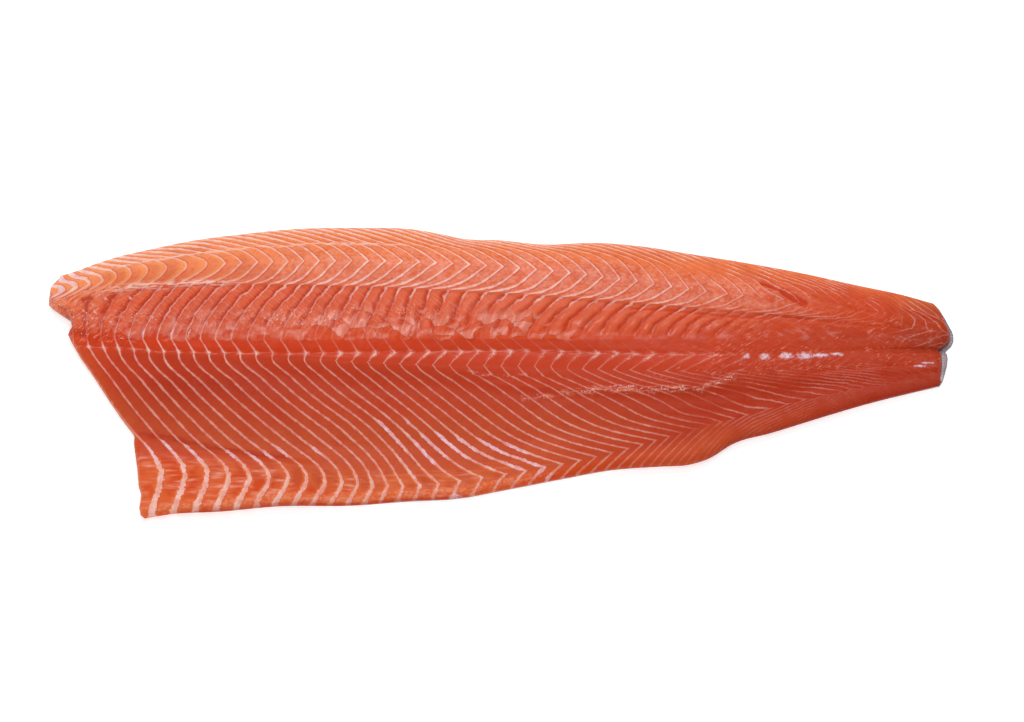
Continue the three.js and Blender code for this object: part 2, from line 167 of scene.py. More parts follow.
# Ranks of small barbs that the rib ends have left on the fat sheets: row, x from and to, size in sheets.
BARBS = ((6, -105, 45, 0.2), (6.45, -20, 60, 0.16))
BARB_ROWS = 0.12  # how far above its rank a barb reaches, in rows
BARB_FADE = 15

# Ribs of the open channel: how steeply each one rises, the bend of the rise, the fall and the bend of that.
RIB = {"steepness": 5, "rise_bend": 0.6, "fall": 0.95, "fall_bend": 2.6}
SHEETS_WAVER = (100, 190)  # x from and to where the sheets begin to waver towards the tail

# Rounding of the upper face down to its outermost edge, and the height of that edge.
ROUNDING = {"back": 10, "belly": 6, "head": 3.5, "tail": 5}
NOSE_SHARE = 0.35
THINNEST = 0.6

# The underside is flat in the middle and lifts towards the long edges: share of the crest height, width.
BACK_LIFT = (0.2, 26)
BELLY_LIFT = (0.07, 14)

# Relief of the upper face.
LEDGE = {"drop": 1.3, "fade": 9, "from": -277, "to": 225}
GROOVE = {"depth": 0.7, "tail_depth": 2.2, "width": 1.8, "deepens": (230, 300)}
TEAR = {"height": 1, "width": 3, "from": -20, "to": 165, "fade": 30, "offset": 1.5}
TEAR_TURN = (0.81, 0.59)  # cosine and sine of the direction in which the head end is torn
TORN_LUMPS = {"height": 1.1, "length": 0.33, "small_length": 1.6}
BELLY_LEDGE = {"rise": 2.2, "width": 2, "fades": (-150, -105)}
BELLY_LEDGE_LINE = [(-252, -48), (-226, -53), (-200, -60), (-178, -64), (-146, -68), (-100, -73)]
SCRAPED = {"size": 8, "seed": 22, "lean": 0.6, "warp_across": 0.8, "tilt": 0.6, "crack": 0.3,
           "crack_width": 0.8, "shelf": 0.4}
KNOTS = {"rows": (4.8, 5, 5.05, 5.35), "height": 0.7, "width": 1.6, "least": 0.6}
BULGE = 0.7
# How far the cut edges of the fat sheets stand up, by row, and where that ends towards the tail.
SHEET_RIDGES = ((0, 2.9, 3.1, 4.9, 5.1, 8.4, 9, 10), (0.2, 0.2, 0, 0, 0.25, 0.25, -0.25, -0.25))
RIDGES_END = (120, 240)
RIDGE_WIDTH = 0.7  # of the width of the sheet
# How high scraps of fat and the spots of painted glints, seams and torn threads lie on the face.
SCRAP_HEIGHT, SEAM_HEIGHT, THREAD_HEIGHT = 0.6, 0.35, 0.4

# Zones of the face: the rows and the x between which each one rises and falls.
BEFORE_HEAD, PAST_TAIL = (-400, -399), (399, 400)
PAST_BELLY = (11, 12)
RIB_FADE = (130, 205)
SCRAPED_ROWS = (3.46, 3.62, 3.98, 4.1)
ZONES = {
    "ribs": ((2.99, 3.03, 3.6, 4.0), (-306, -292, *RIB_FADE)),  # flakes of the open channel
    "scraped": (SCRAPED_ROWS, (-300, -270, 20, 70)),  # flakes that the knife has smeared
    "smeared white": ((-2, -1, *PAST_BELLY), (-300, -270, -110, -70)),
    "torn": ((1.9, 2.6, 4.3, 4.9), (*BEFORE_HEAD, -283, -235)),  # torn and smeared flakes of the head end
    "bulged": ((1, 1.6, 2.6, 3), (-275, -250, -200, -165)),
    "tiles": ((1.1, 1.5, 2.85, 3), (-280, -262, -205, -160)),
    "loin": ((1, 1.4, 2.85, 3), (-190, -120, 170, 230)),
    "speckle": ((3.35, 3.5, 3.58, 3.75), (-300, -250, -70, -20)),
    "knots": ((4.75, 4.95, 5.15, 5.6), (*BEFORE_HEAD, 100, 200)),
    "hollow": ((5.6, 6.6, 8.6, 9), (*BEFORE_HEAD, 120, 220)),
    "hollow floor": ((6.6, 7.4, 8.2, 8.8), (*BEFORE_HEAD, *PAST_TAIL)),
    "strip": ((8.55, 8.95, *PAST_BELLY), (*BEFORE_HEAD, -60, 60)),
    "strip middle": ((8.6, 9, 9.8, 10), (*BEFORE_HEAD, *PAST_TAIL)),
    "flecked": ((0.1, 3.2, 6.3, 6.9), (60, 170, *PAST_TAIL)),
    "tail waves": ((0, 0.5, 9, 10), (120, 190, *PAST_TAIL)),
    "rib lines": ((3.05, 3.35, 3.95, 4), (-220, -60, *PAST_TAIL)),
    "end lines": ((1.6, 2.4, 4.4, 4.8), (262, 285, *PAST_TAIL)),
}

# Soft random waves: height, size in millimetres and seed of each layer.
WAVES = {
    "face": ((0.32, 30, 1), (0.12, 9, 2), (0.05, 3.5, 3)),
    "knots": ((0.6, 4, 5),),
    "hollow floor": ((0.5, 45, 6),),
    "torn lumps": ((1, 3.4, 8),),
    "small torn lumps": ((0.45, 1.7, 26),),
    "tail": ((0.4, 2.6, 9),),
    "tail sheets": ((0.35, 15, 17),),
    "rib sheets": ((0.09, 6, 11), (0.06, 2.6, 12)),
    "rib height": ((0.2, 5, 13), (0.12, 2.2, 14)),
    "scraped edge": ((0.2, 7, 15), (0.12, 3, 16)),
    "scraped warp": ((1.6, 5, 21),),
    "scraped smears": ((0.35, 3.4, 23),),
    "strip edge": ((0.9, 6, 24), (0.4, 2.5, 25)),
    "patchy fat": ((1, 12, 18),),
    "tones": ((0.3, 8, 19),),
    "scraps": ((0.35, 1.6, 31),),
    "creases": ((0.25, 5, 51),),
    "seams": ((0.9, 9, 53),),
    "threads": ((0.7, 4, 54), (0.5, 2, 58)),
    "patches": ((0.5, 7, 55),),
    "speckle": ((0.15, 9, 56),),
    "strip smears": ((1, 14, 57),),
}

# The paleness of the fat sheets: how far it fades down the ribs of the channel and on the torn head end,
# how it comes and goes towards the tail, and what the last sheets gain.
RIB_LINE_FADE, TORN_LINE_FADE = 0.7, 0.7
TORN_LINE_ROWS = (2.2, 2.7)
PATCHY_FAT = {"least": 0.3, "gain": 1.1, "waves": (-0.35, 0.35), "grows": (80, 160)}
END_LINES = 0.2
WET_WIDENING = 1.3

# ------------------------------------------------------------------ the tones of the flesh

TONES = {
    "band": "#f0925e",
    "back": "#e66f3c",
    "amber": "#ea8049",
    "loin": "#e88155",
    "coral": "#de6d4b",
    "blush": "#d56544",
    "pale rib": "#d95d38",
    "rib": "#d24a20",
    "gloss": "#c84122",
    "flesh": "#cc4a28",
    "channel": "#cb3d1a",
    "red": "#c23f21",
    "deep": "#a52f18",
    "cavity": "#b63b20",
    "umber": "#b84b29",
    "strip": "#ce4511",
    "keel": "#bf4d28",
    "belly": "#a93015",
    "tail": "#b53c20",
    "wedge": "#c9451f",
}
# How the tones run together towards the tail and darken there, and how far painted shade turns them deep on
# the wall.
TONES_BLUR = (90, 170)
BLUR_ROWS = (-0.35, 0, 0.35)
TAIL_SHADE = {"strength": 0.3, "grows": (255, 300), "rows": (4.5, 6)}
WALL_SHADE = 0.2
# Tone of the flesh across the side, by row, at each of STATIONS.
TONE_ROWS = [
    (0, ("band", "band", "band", "band", "band", "amber", "back")),
    (1, ("band", "band", "band", "amber", "amber", "back", "wedge")),
    (2, ("band", "loin", "loin", "loin", "coral", "blush", "wedge")),
    (2.97, ("loin", "loin", "coral", "coral", "coral", "blush", "wedge")),
    (3.02, ("loin", "rib", "rib", "rib", "pale rib", "rib", "tail")),
    (3.6, ("rib", "rib", "gloss", "rib", "rib", "rib", "tail")),
    (3.98, ("flesh", "channel", "gloss", "rib", "rib", "red", "tail")),
    (4.12, ("channel", "channel", "channel", "channel", "red", "red", "tail")),
    (5, ("channel", "channel", "channel", "channel", "red", "red", "tail")),
    (5.4, ("flesh", "red", "red", "red", "red", "red", "tail")),
    (7, ("flesh", "cavity", "deep", "cavity", "cavity", "belly", "belly")),
    (8, ("red", "umber", "umber", "umber", "umber", "belly", "belly")),
    (8.45, ("strip", "gloss", "umber", "keel", "keel", "belly", "belly")),
    (8.7, ("channel", "red", "red", "keel", "keel", "belly", "belly")),
    (9.1, ("strip", "channel", "strip", "keel", "keel", "belly", "belly")),
    (9.5, ("strip", "strip", "strip", "strip", "strip", "keel", "belly")),
    (10, ("strip", "strip", "strip", "strip", "strip", "keel", "belly")),
]


def linear(value):
    """The linear colour of an sRGB hex value, as three numbers."""
    parts = [int(value[i:i + 2], 16) / 255 for i in (1, 3, 5)]
    return tuple(p / 12.92 if p <= 0.04045 else ((p + 0.055) / 1.055) ** 2.4 for p in parts)


# ------------------------------------------------------------------ curves

def ramp(value, start, end):
    """Smooth rise from 0 at start to 1 at end."""
    t = np.clip((value - start) / (end - start), 0, 1)
    return t * t * (3 - 2 * t)


def plateau(value, rise_from, rise_to, fall_from, fall_to):
    """1 between the two inner values, 0 outside the two outer ones."""
    return ramp(value, rise_from, rise_to) * (1 - ramp(value, fall_from, fall_to))


def slopes_through(places, values):
    """Slope at each point, from the chords on both sides."""
    steps = np.diff(places, axis=0)
    chords = np.diff(values, axis=0) / steps
    inner = (chords[:-1] * steps[1:] + chords[1:] * steps[:-1]) / (steps[:-1] + steps[1:])
    return np.concatenate([chords[:1], inner, chords[-1:]])


def bend_between(t, span, start, end, start_slope, end_slope):
    """Cubic from start to end over a span, with given slopes at both."""
    bend = t * t * (3 - 2 * t)
    return (start * (1 - bend) + end * bend
            + start_slope * span * t * (1 - t) ** 2 - end_slope * span * t * t * (1 - t))


def smooth_curve(points):
    """Smooth curve through (place, value) points, straight beyond both ends."""
    places, values = np.array(points, float).T
    slopes = slopes_through(places, values)

    def value_at(place):
        i = np.clip(np.searchsorted(places, place) - 1, 0, len(places) - 2)
        span = places[i + 1] - places[i]
        t = np.clip((place - places[i]) / span, 0, 1)
        inside = bend_between(t, span, values[i], values[i + 1], slopes[i], slopes[i + 1])
        before = np.minimum(place - places[0], 0) * slopes[0]
        after = np.maximum(place - places[-1], 0) * slopes[-1]
        return inside + before + after
    return value_at


def end_over_y(points):
    """Straight pieces through (x, y) points that run from high y to low y, read as x over y."""
    x, y = np.array(points[::-1], float).T
    return lambda place: np.interp(place, y, x)


def distance_to_path(path, x, y):
    """Distance of each point from the nearest straight piece of a path."""
    nearest = np.full(len(x), np.inf)
    for (x0, y0), (x1, y1) in zip(path[:-1], path[1:]):
        dx, dy = x1 - x0, y1 - y0
        t = np.clip(((x - x0) * dx + (y - y0) * dy) / (dx * dx + dy * dy), 0, 1)
        nearest = np.minimum(nearest, np.hypot(x0 + t * dx - x, y0 + t * dy - y))
    return nearest


def dense_path(curve, points, step=5):
    """A path of short straight pieces along a curve, from its first point to its last."""
    x = np.append(np.arange(points[0][0], points[-1][0], step), points[-1][0])
    return list(zip(x, curve(x)))


crest_height = smooth_curve(CREST_HEIGHT)
line_across = [smooth_curve(line.across) for line in LINES]
line_sheets = [smooth_curve(list(zip(SHEET_STATIONS, line.sheets))) for line in LINES]
belly_ledge_line = smooth_curve(BELLY_LEDGE_LINE)
head_cut = end_over_y(HEAD_CUT)
tail_end = end_over_y(TAIL_END)
skin_tail_end = end_over_y(SKIN_TAIL_END)
back_path = dense_path(line_across[0], BACK_EDGE)
belly_path = dense_path(line_across[LAST_LINE], BELLY_EDGE)


NOISE_CELLS = 256
NOISE_START, FACET_START = (31.7, 17.3), (57.1, 23.9)


def cells(x, y, size, start):
    """Place of each point in a table of random cells, and the numbers of the cell that it is in."""
    gx, gy = x / size + start[0], y / size + start[1]
    return gx, gy, np.floor(gx).astype(int), np.floor(gy).astype(int)


def smooth_noise(x, y, size, seed):
    """Soft random waves between -1 and 1, about `size` millimetres across."""
    table = np.random.default_rng(seed).uniform(-1, 1, (NOISE_CELLS, NOISE_CELLS))
    gx, gy, ix, iy = cells(x, y, size, NOISE_START)
    tx, ty = gx - ix, gy - iy
    tx, ty = tx * tx * (3 - 2 * tx), ty * ty * (3 - 2 * ty)
    at = lambda i, j: table[(ix + i) % NOISE_CELLS, (iy + j) % NOISE_CELLS]
    return (at(0, 0) * (1 - tx) + at(1, 0) * tx) * (1 - ty) + (at(0, 1) * (1 - tx) + at(1, 1) * tx) * ty


def waves(name, x, y):
    """Sum of the random waves of one kind; see WAVES."""
    return sum(height * smooth_noise(x, y, size, seed) for height, size, seed in WAVES[name])


def facets(x, y, size, seed):
    """Height of random flat facets about `size` across, and the distance to their edges."""
    source = np.random.default_rng(seed)
    jitter = source.uniform(0.15, 0.85, (NOISE_CELLS, NOISE_CELLS, 2))
    tilt = source.uniform(-1, 1, (NOISE_CELLS, NOISE_CELLS, 3))
    gx, gy, ix, iy = cells(x, y, size, FACET_START)
    first, second = np.full(len(x), np.inf), np.full(len(x), np.inf)
    height = np.zeros(len(x))
    for i in (-1, 0, 1):
        for j in (-1, 0, 1):
            cx, cy = (ix + i) % NOISE_CELLS, (iy + j) % NOISE_CELLS
            dx = gx - (ix + i + jitter[cx, cy, 0])
            dy = gy - (iy + j + jitter[cx, cy, 1])
            distance = np.hypot(dx, dy)
            nearer = distance < first
            second = np.where(nearer, first, np.minimum(second, distance))
            facet = tilt[cx, cy, 0] * dx + tilt[cx, cy, 1] * dy + 0.4 * tilt[cx, cy, 2]
            height = np.where(nearer, facet, height)
            first = np.where(nearer, distance, first)
    return height, (second - first) * size


def zone(name, row, x):
    """1 inside a zone of the face, down to 0 outside it; see ZONES."""
    rows, along = ZONES[name]
    return plateau(row, *rows) * plateau(x, *along)


# ------------------------------------------------------------------ the faces

def line_below(row):
    """Number of the length line on the back's side of each row."""
    return np.clip(np.floor(row).astype(int), 0, LAST_LINE - 1)


def pick(stack, line):
    """From one array a line, the value of each vertex's own line."""
    return np.take_along_axis(stack, line[None], 0)[0]


def line_heights(x):
    """Height of each length line at each x, as one array a line."""
    crest = crest_height(x)
    from_head = np.clip((x - HEAD_X) / (MIDDLE - HEAD_X), 0, 1)
    to_tail = np.clip((x - MIDDLE) / (TAIL_X - MIDDLE), 0, 1) ** TAIL_BEND
    return np.stack([
        crest * (head + (middle - head) * from_head + (tail - middle) * to_tail)
        for head, middle, tail in (line.shares for line in LINES)
    ])


def row_across(row, x):
    """Place across the side of a row, where whole rows are the length lines."""
    places = np.stack([across(x) for across in line_across])
    line = line_below(row)
    upper = pick(places, line)
    return upper + (pick(places, line + 1) - upper) * (row - line)


def body_height(row, x):
    """Height of the upper face without its relief and rounding."""
    places = np.stack([-across(x) for across in line_across])
    heights = line_heights(x)
    slopes = slopes_through(places, heights)
    line = line_below(row)
    span = pick(places, line + 1) - pick(places, line)
    return bend_between(row - line, span, pick(heights, line), pick(heights, line + 1),
                        pick(slopes, line), pick(slopes, line + 1))


def under_height(x, y):
    """Height of the flesh's underside over the floor."""
    height = np.full(len(x), float(BED))
    for path, (share, width) in ((back_path, BACK_LIFT), (belly_path, BELLY_LIFT)):
        near = np.clip(1 - distance_to_path(path, x, y) / width, 0, 1)
        height += crest_height(x) * share * near ** 2
    return height


def fullness(x, y):
    """1 inside, down to 0 on the outline, as the upper face rounds over."""
    full = np.ones(len(x))
    for path, side in ((back_path, "back"), (belly_path, "belly"), (HEAD_CUT, "head"), (TAIL_END, "tail")):
        inward = np.clip(distance_to_path(path, x, y) / ROUNDING[side], 0, 1)
        full *= np.sqrt(1 - (1 - inward) ** 2)
    return full


def ease_across(line, t, x):
    """How the count of fat sheets changes from one length line to the next, as a share from 0 to 1."""
    pointed = ramp(x, *POINTED_TIPS[CREST])
    above = [t ** TIP_BENDS["pointed above"], 1 - (1 - t) ** TIP_BENDS["round above"]]
    below = [STRAIGHT_SHARE * t + (1 - STRAIGHT_SHARE) * t ** TIP_BENDS["pointed below"],
             t ** TIP_BENDS["round below"]]
    above, below = [sharp * pointed + blunt * (1 - pointed) for sharp, blunt in (above, below)]
    foot = 1 - (1 - t) ** TIP_BENDS["foot"]
    return np.select([line == 1, line == CREST, line == LOIN_FOOT], [above, below, foot], t)


def sheet_count(row, x):
    """Number of fat sheets passed from the head end; a sheet's cut edge shows where it is whole."""
    counts = np.stack([sheets(x) for sheets in line_sheets])
    line = line_below(row)
    upper, lower = pick(counts, line), pick(counts, line + 1)
    straight = upper + (lower - upper) * ease_across(line, np.clip(row - line, 0, 1), x)

    places = np.stack([-across(x) for across in line_across])
    slopes = slopes_through(places[BACKBONE:], counts[BACKBONE:])
    below = np.maximum(line, BACKBONE)
    span = pick(places, below + 1) - pick(places, below)
    chord = (lower - upper) / span
    start, end = pick(slopes, below - BACKBONE), pick(slopes, below + 1 - BACKBONE)
    for tips in (RIB_ENDS, STRIP):
        pointed = ramp(x, *POINTED_TIPS[tips])
        start = np.where(below == tips, start + (chord - start) * pointed, start)
        end = np.where(below == tips - 1, end + (chord - end) * pointed, end)
    bent = bend_between(row - line, span, upper, lower, start, end)
    return np.where(line < BACKBONE, straight, bent)


def sheet_slope(row, x):
    """Change of the sheet count by millimetre in x and in y."""
    step_x, step_row = 0.5, 0.02
    line = line_below(row)
    low = np.clip(row - step_row, line + 1e-4, line + 1 - 1e-4)
    high = np.clip(row + step_row, line + 1e-4, line + 1 - 1e-4)
    y_low, y_high = row_across(low, x), row_across(high, x)
    by_y = (sheet_count(high, x) - sheet_count(low, x)) / (y_high - y_low)
    middle = (low + high) / 2
    along = (sheet_count(middle, x + step_x) - sheet_count(middle, x - step_x)) / (2 * step_x)
    drift = (row_across(middle, x + step_x) - row_across(middle, x - step_x)) / (2 * step_x)
    return along - by_y * drift, by_y


def at_stations(rows, row, x):
    """Value at each vertex from [(row, values at STATIONS)], straight between rows and stations."""
    keys = np.array([key for key, _ in rows], float)
    table = np.array([np.interp(x, STATIONS, values) for _, values in rows])
    i = np.clip(np.searchsorted(keys, row, side="right") - 1, 0, len(keys) - 2)
    t = np.clip((row - keys[i]) / (keys[i + 1] - keys[i]), 0, 1)
    return pick(table, i) * (1 - t) + pick(table, i + 1) * t


# ------------------------------------------------------------------ relief of the upper face

def ledges(x, y):
    """The ledge under the loin, the groove of the backbone, the torn seam and the step of the belly strip."""
    foot, backbone = line_across[LOIN_FOOT](x), line_across[BACKBONE](x)
    inside = plateau(x, LEDGE["from"], LEDGE["from"] + LEDGE["fade"], RIB_FADE[1], LEDGE["to"])
    height = np.where(y < foot, -LEDGE["drop"] * inside * np.exp(np.minimum(y - foot, 0) / LEDGE["fade"]), 0)

    depth = GROOVE["depth"] + (GROOVE["tail_depth"] - GROOVE["depth"]) * ramp(x, *GROOVE["deepens"])
    height -= depth * np.exp(-((y - backbone) / GROOVE["width"]) ** 2)

    height += TEAR["height"] * tear_strength(x, y)

    on_strip = ramp(belly_ledge_line(x) + waves("strip edge", x, 0 * x) - y, 0, BELLY_LEDGE["width"])
    return height + BELLY_LEDGE["rise"] * on_strip * (1 - ramp(x, *BELLY_LEDGE["fades"]))


def tear_strength(x, y):
    """How far each point lies on the torn seam over the belly hollow."""
    fade = plateau(x, TEAR["from"], TEAR["from"] + TEAR["fade"], TEAR["to"] - TEAR["fade"], TEAR["to"])
    across = (y - line_across[HOLLOW_TOP](x) - TEAR["offset"]) / TEAR["width"]
    return fade * np.exp(-across ** 2)


def in_scraped(row, x):
    """Where the knife has scraped the flesh, down to an edge of flame-like points."""
    return zone("scraped", row + waves("scraped edge", x, 0 * x), x)


def uneven_count(row, x, y, count):
    """The sheet count with uneven ribs in the channel, barbs at the rib ends and waves towards the tail."""
    count = count + waves("rib sheets", x, y) * zone("ribs", row, x)
    for rank, start, end, size in BARBS:
        barb = np.where(row < rank, np.exp(-((row - rank) / BARB_ROWS) ** 2), 0)
        count = count + size * barb * plateau(x, start - BARB_FADE, start, end - BARB_FADE, end)
    return count + waves("tail sheets", x, y) * ramp(x, *SHEETS_WAVER)


def flakes(row, x, y, count, relief):
    """Ribs in the open channel, each steep towards the head and long and round towards the tail."""
    place = count % 1
    rise = np.minimum(place * RIB["steepness"], 1) ** RIB["rise_bend"]
    rib = rise * (1 - RIB["fall"] * place ** RIB["fall_bend"]) - 0.5
    return relief * (rib + waves("rib height", x, y)) * zone("ribs", row, x)


def scraped_face(row, x, y):
    """Smeared flakes along the foot of the channel, with cracks between them."""
    warp = waves("scraped warp", x, y)
    height, edge = facets(x + SCRAPED["lean"] * y + warp, y + SCRAPED["warp_across"] * warp,
                          SCRAPED["size"], SCRAPED["seed"])
    smear = SCRAPED["tilt"] * height + waves("scraped smears", x + y, y)
    smear -= SCRAPED["crack"] * np.exp(-(edge / SCRAPED["crack_width"]) ** 2)
    shelf = np.clip((row - SCRAPED_ROWS[0]) / (CHANNEL_SIDE - SCRAPED_ROWS[0]), 0, 1) - 0.5
    return in_scraped(row, x) * (smear + SCRAPED["shelf"] * shelf)


def line_bump(count, pitch, width):
    """1 on the cut edge of a fat sheet, down to 0 beside it."""
    distance = np.abs((count + 0.5) % 1 - 0.5) * pitch
    return np.exp(-(distance / np.maximum(width, 0.5)) ** 2)


def torn_lumps(row, x, y):
    """Lumps of the torn head end, drawn out along the tear."""
    cosine, sine = TEAR_TURN
    along, across = TORN_LUMPS["length"] * (cosine * x + sine * y), cosine * y - sine * x
    small = waves("small torn lumps", TORN_LUMPS["small_length"] * along, across)
    return TORN_LUMPS["height"] * (waves("torn lumps", along, across) + small) * zone("torn", row, x)


def fine_relief(row, x, y, count, pitch, width):
    """Small relief of the cut face."""
    ridges = np.interp(row, *SHEET_RIDGES) * (1 - ramp(x, *RIDGES_END))
    ridges *= line_bump(count, pitch, RIDGE_WIDTH * width)
    knots = line_bump(count, pitch, np.full(len(x), KNOTS["width"])) * plateau(row, *KNOTS["rows"])
    knots *= KNOTS["height"] * (KNOTS["least"] + waves("knots", x, y))
    hollow = waves("hollow floor", x, y) * zone("hollow floor", row, x)
    bulge = BULGE * np.abs(np.sin(np.pi * count)) * zone("bulged", row, x)
    tail = waves("tail", 0.25 * x, 0.8 * y + 0.3 * x) * zone("tail waves", row, x)
    return waves("face", x, y) + ridges + knots + hollow + bulge + torn_lumps(row, x, y) + tail


def stroke_strength(strokes, x, y, ragged=0, sharpness=2):
    """How far each point lies on soft strokes, which are given as (x, y) points, half width and strength."""
    strength = np.zeros(len(x))
    for path, half_width, most in strokes:
        away = distance_to_path(path, x, y) + half_width * ragged
        strength = np.maximum(strength, most * np.exp(-(away / half_width) ** sharpness))
    return strength


# Creases and splits: (x, y) points, depth, half width, how far they are turned darker red, and how far
# painted shade darkens them.
CREASES = [
    ([(-203, -17), (-165, -26), (-144, -42), (-137, -58)], 0.9, 5.5, 0, 0.3),  # soft fold of the belly hollow
    ([(179, 58), (188, 54.5), (198, 50)], 1.0, 1.4, 1, 0),  # split towards the tail of the loin
    ([(193, 52), (201, 47.5), (209, 43.5)], 2.0, 2.7, 1, 0),
    ([(214, 50), (238, 42), (262, 37)], 0.6, 1.2, 0.5, 0),
    ([(196, 34), (232, 30), (276, 27)], 0.5, 1.2, 0.4, 0),
    ([(210, -6), (245, -2), (290, 1)], 0.5, 1.2, 0.4, 0),
    ([(90, 38), (118, 37), (150, 34), (182, 33)], 0.7, 1.3, 0.7, 0),  # ragged foot of the loin
    ([(-296, 27), (-286, 22)], 1.5, 3, 0.3, 0.5),  # nick behind the notch of the head cut
    # The crease over the strip is the painted shadow of the strip's step.
    ([(-248, -48), (-226, -51.5), (-200, -58), (-178, -62), (-146, -66)], 0.6, 1.5, 0, 1),  # over the strip
]
TINT_AND_SHADE_SHARPNESS = 4


def crease_strength(x, y):
    """How deep each point lies in the creases, in millimetres, how far it is turned darker red and how far
    painted shade darkens it.
    """
    ragged = waves("creases", x, y)
    depths = [(path, half_width, depth) for path, depth, half_width, _, _ in CREASES]
    reds = [(path, half_width, red) for path, _, half_width, red, _ in CREASES]
    shades = [(path, half_width, dark) for path, _, half_width, _, dark in CREASES]
    return (stroke_strength(depths, x, y, ragged), stroke_strength(reds, x, y, ragged, TINT_AND_SHADE_SHARPNESS),
            stroke_strength(shades, x, y, ragged, TINT_AND_SHADE_SHARPNESS))


# Ragged pale seams along the side: row, half width, x from and to, fade, strength.
SEAMS = [
    (1.02, 1.0, -285, -50, 40, 1.0),
    (2.93, 1.9, -284, -170, 30, 1.0),
    (5.0, 0.7, -60, 165, 25, 0.32),
    (5.02, 0.4, -300, -60, 10, 0.3),
]
# Threads of torn sinew: (x, y) points, half width, strength.
THREADS = [
    ([(14, -24.5), (24, -23.5), (41, -22), (62, -19)], 0.6, 0.8),
    ([(56, -20), (71, -18.4), (102, -18.9), (137, -17.6), (147, -14.7), (161, -8.5)], 1.5, 0.8),
    ([(60, -17.2), (80, -16.2), (104, -17), (130, -16.2)], 0.45, 1),
    ([(41, -20.5), (60, -17.5), (76, -16.4), (96, -17)], 0.7, 0.7),
    ([(-23, -5.8), (-12, -8.5), (0, -9.4), (18, -8)], 0.45, 0.75),
    ([(2, -10.8), (12, -10)], 0.4, 0.6),
]


def seam_strength(x, y):
    """How far each point lies on the pale seams, from 0 to 1."""
    strength = np.zeros(len(x))
    for seam_row, half_width, start, end, fade, most in SEAMS:
        seam_y = row_across(np.full(len(x), seam_row), x) + waves("seams", x, 0 * y)
        across = np.exp(-((y - seam_y) / half_width) ** 2)
        strength = np.maximum(strength, most * across * plateau(x, start, start + fade, end - fade, end))
    return strength


def thread_strength(x, y):
    """How far each point lies on the torn threads, from 0 to 1."""
    return stroke_strength(THREADS, x, y, waves("threads", x, y))


# Small scraps of fat and sinew that lie on the flesh; those at x -180 and less are spots of painted glints on
# the
# wet head end: x, y, half length, half width.
SCRAPS_AND_GLINTS = [
    (169, 5.2, 2, 2), (181, 5.6, 4.2, 2.2), (196, 6.4, 5.2, 2.4), (208, 6.2, 5, 2.8), (219, 7.2, 6, 1.9),
    (231, 8.2, 5, 1.4), (288, 0.6, 4.2, 0.8), (292, 2.8, 4.4, 0.8), (-31, -93.5, 4.5, 1.6),
    (-286, 38.3, 0.9, 0.5), (-283.2, 28.8, 0.7, 0.5), (-277.8, 36.8, 0.6, 0.5), (-271, 46.3, 1, 0.4),
    (-253.8, 46, 0.8, 0.4), (-244.9, 22.2, 0.7, 1.7), (-225, 21.5, 0.7, 1.7), (-221, 26, 0.9, 0.9),
    (-213.4, 21.5, 0.7, 1.3), (-201, 26, 1.1, 0.7), (-180, 24, 1.2, 0.7),
]


def scrap_and_glint_strength(x, y):
    """How far each point lies on the scraps and the spots of painted glints, from 0 to 1."""
    strength = np.zeros(len(x))
    ragged = 1 + waves("scraps", x, y)
    for place_x, place_y, half_length, half_width in SCRAPS_AND_GLINTS:
        away = np.hypot((x - place_x) / half_length, (y - place_y) / half_width) * ragged
        strength = np.maximum(strength, 1 - ramp(away, 0.5, 1.2))
    return strength


# Stretches of thick, wet fat on the belly: x, y from and to, half width.
WET_FAT = [
    ((-82, -39), (-54, -84), 3), ((-65, -42), (-46, -71), 3), ((-54, -52), (-39, -66), 3),
    ((-41, -50), (-25, -66), 3.2), ((-29, -53), (-6, -72), 3.2), ((-11, -53), (12, -75), 3.4),
    ((6, -57), (31, -78), 3.4), ((-241, -56), (-235, -68), 2.2), ((-230, -55), (-219, -66), 2.2),
    ((-214, -58), (-204, -69), 2.4), ((-186, -62), (-180, -71), 2), ((-173, -58), (-165, -72), 2),
    ((-309, 48), (-296, 58), 3.5), ((-303, 60), (-285, 66), 3.5), ((-161, -63), (-155, -72), 2),
    ((-152, -60), (-147, -66), 2), ((-128, -60), (-122, -69), 2),
]


def wet_strength(x, y):
    """How far each point lies on the stretches of wet fat, from 0 to 1."""
    return stroke_strength([([start, end], half_width, 1) for start, end, half_width in WET_FAT], x, y)


# ------------------------------------------------------------------ grids

RINGS = 7  # loops that go down the wall and in under the flesh
RING_INSET = (0, 0.0012, 0.004, 0.012, 0.05, 0.3, 0.7, 1)
RING_WALL = (1, 0.55, 0.12)  # height of the first loops between the underside and the outermost edge
RING_END = 0.95  # how far the last loop is drawn in along the side
CLOSER_ROWS = {"edges": 1.2, "foot": 0.9, "foot row": 3.1, "reach": 0.35}
CLOSER_COLUMNS = {"middle": 0.12, "ends": 0.25}


def row_places(count):
    """Rows from back to belly, closer at both edges and the foot of the loin, with a row on every line."""
    fine = np.linspace(0, LAST_LINE, 4001)
    reach = CLOSER_ROWS["reach"]
    at_edges = np.exp(-fine / reach) + np.exp(-(LAST_LINE - fine) / reach)
    at_foot = np.exp(-((fine - CLOSER_ROWS["foot row"]) / reach) ** 2)
    density = 1 + CLOSER_ROWS["edges"] * at_edges + CLOSER_ROWS["foot"] * at_foot
    grown = np.concatenate([[0], np.cumsum((density[1:] + density[:-1]) / 2)])
    rows = np.interp(np.linspace(0, grown[-1], count + 1), grown, fine)
    for line in range(1, LAST_LINE):
        rows[np.argmin(np.abs(rows - line))] = line
    return rows


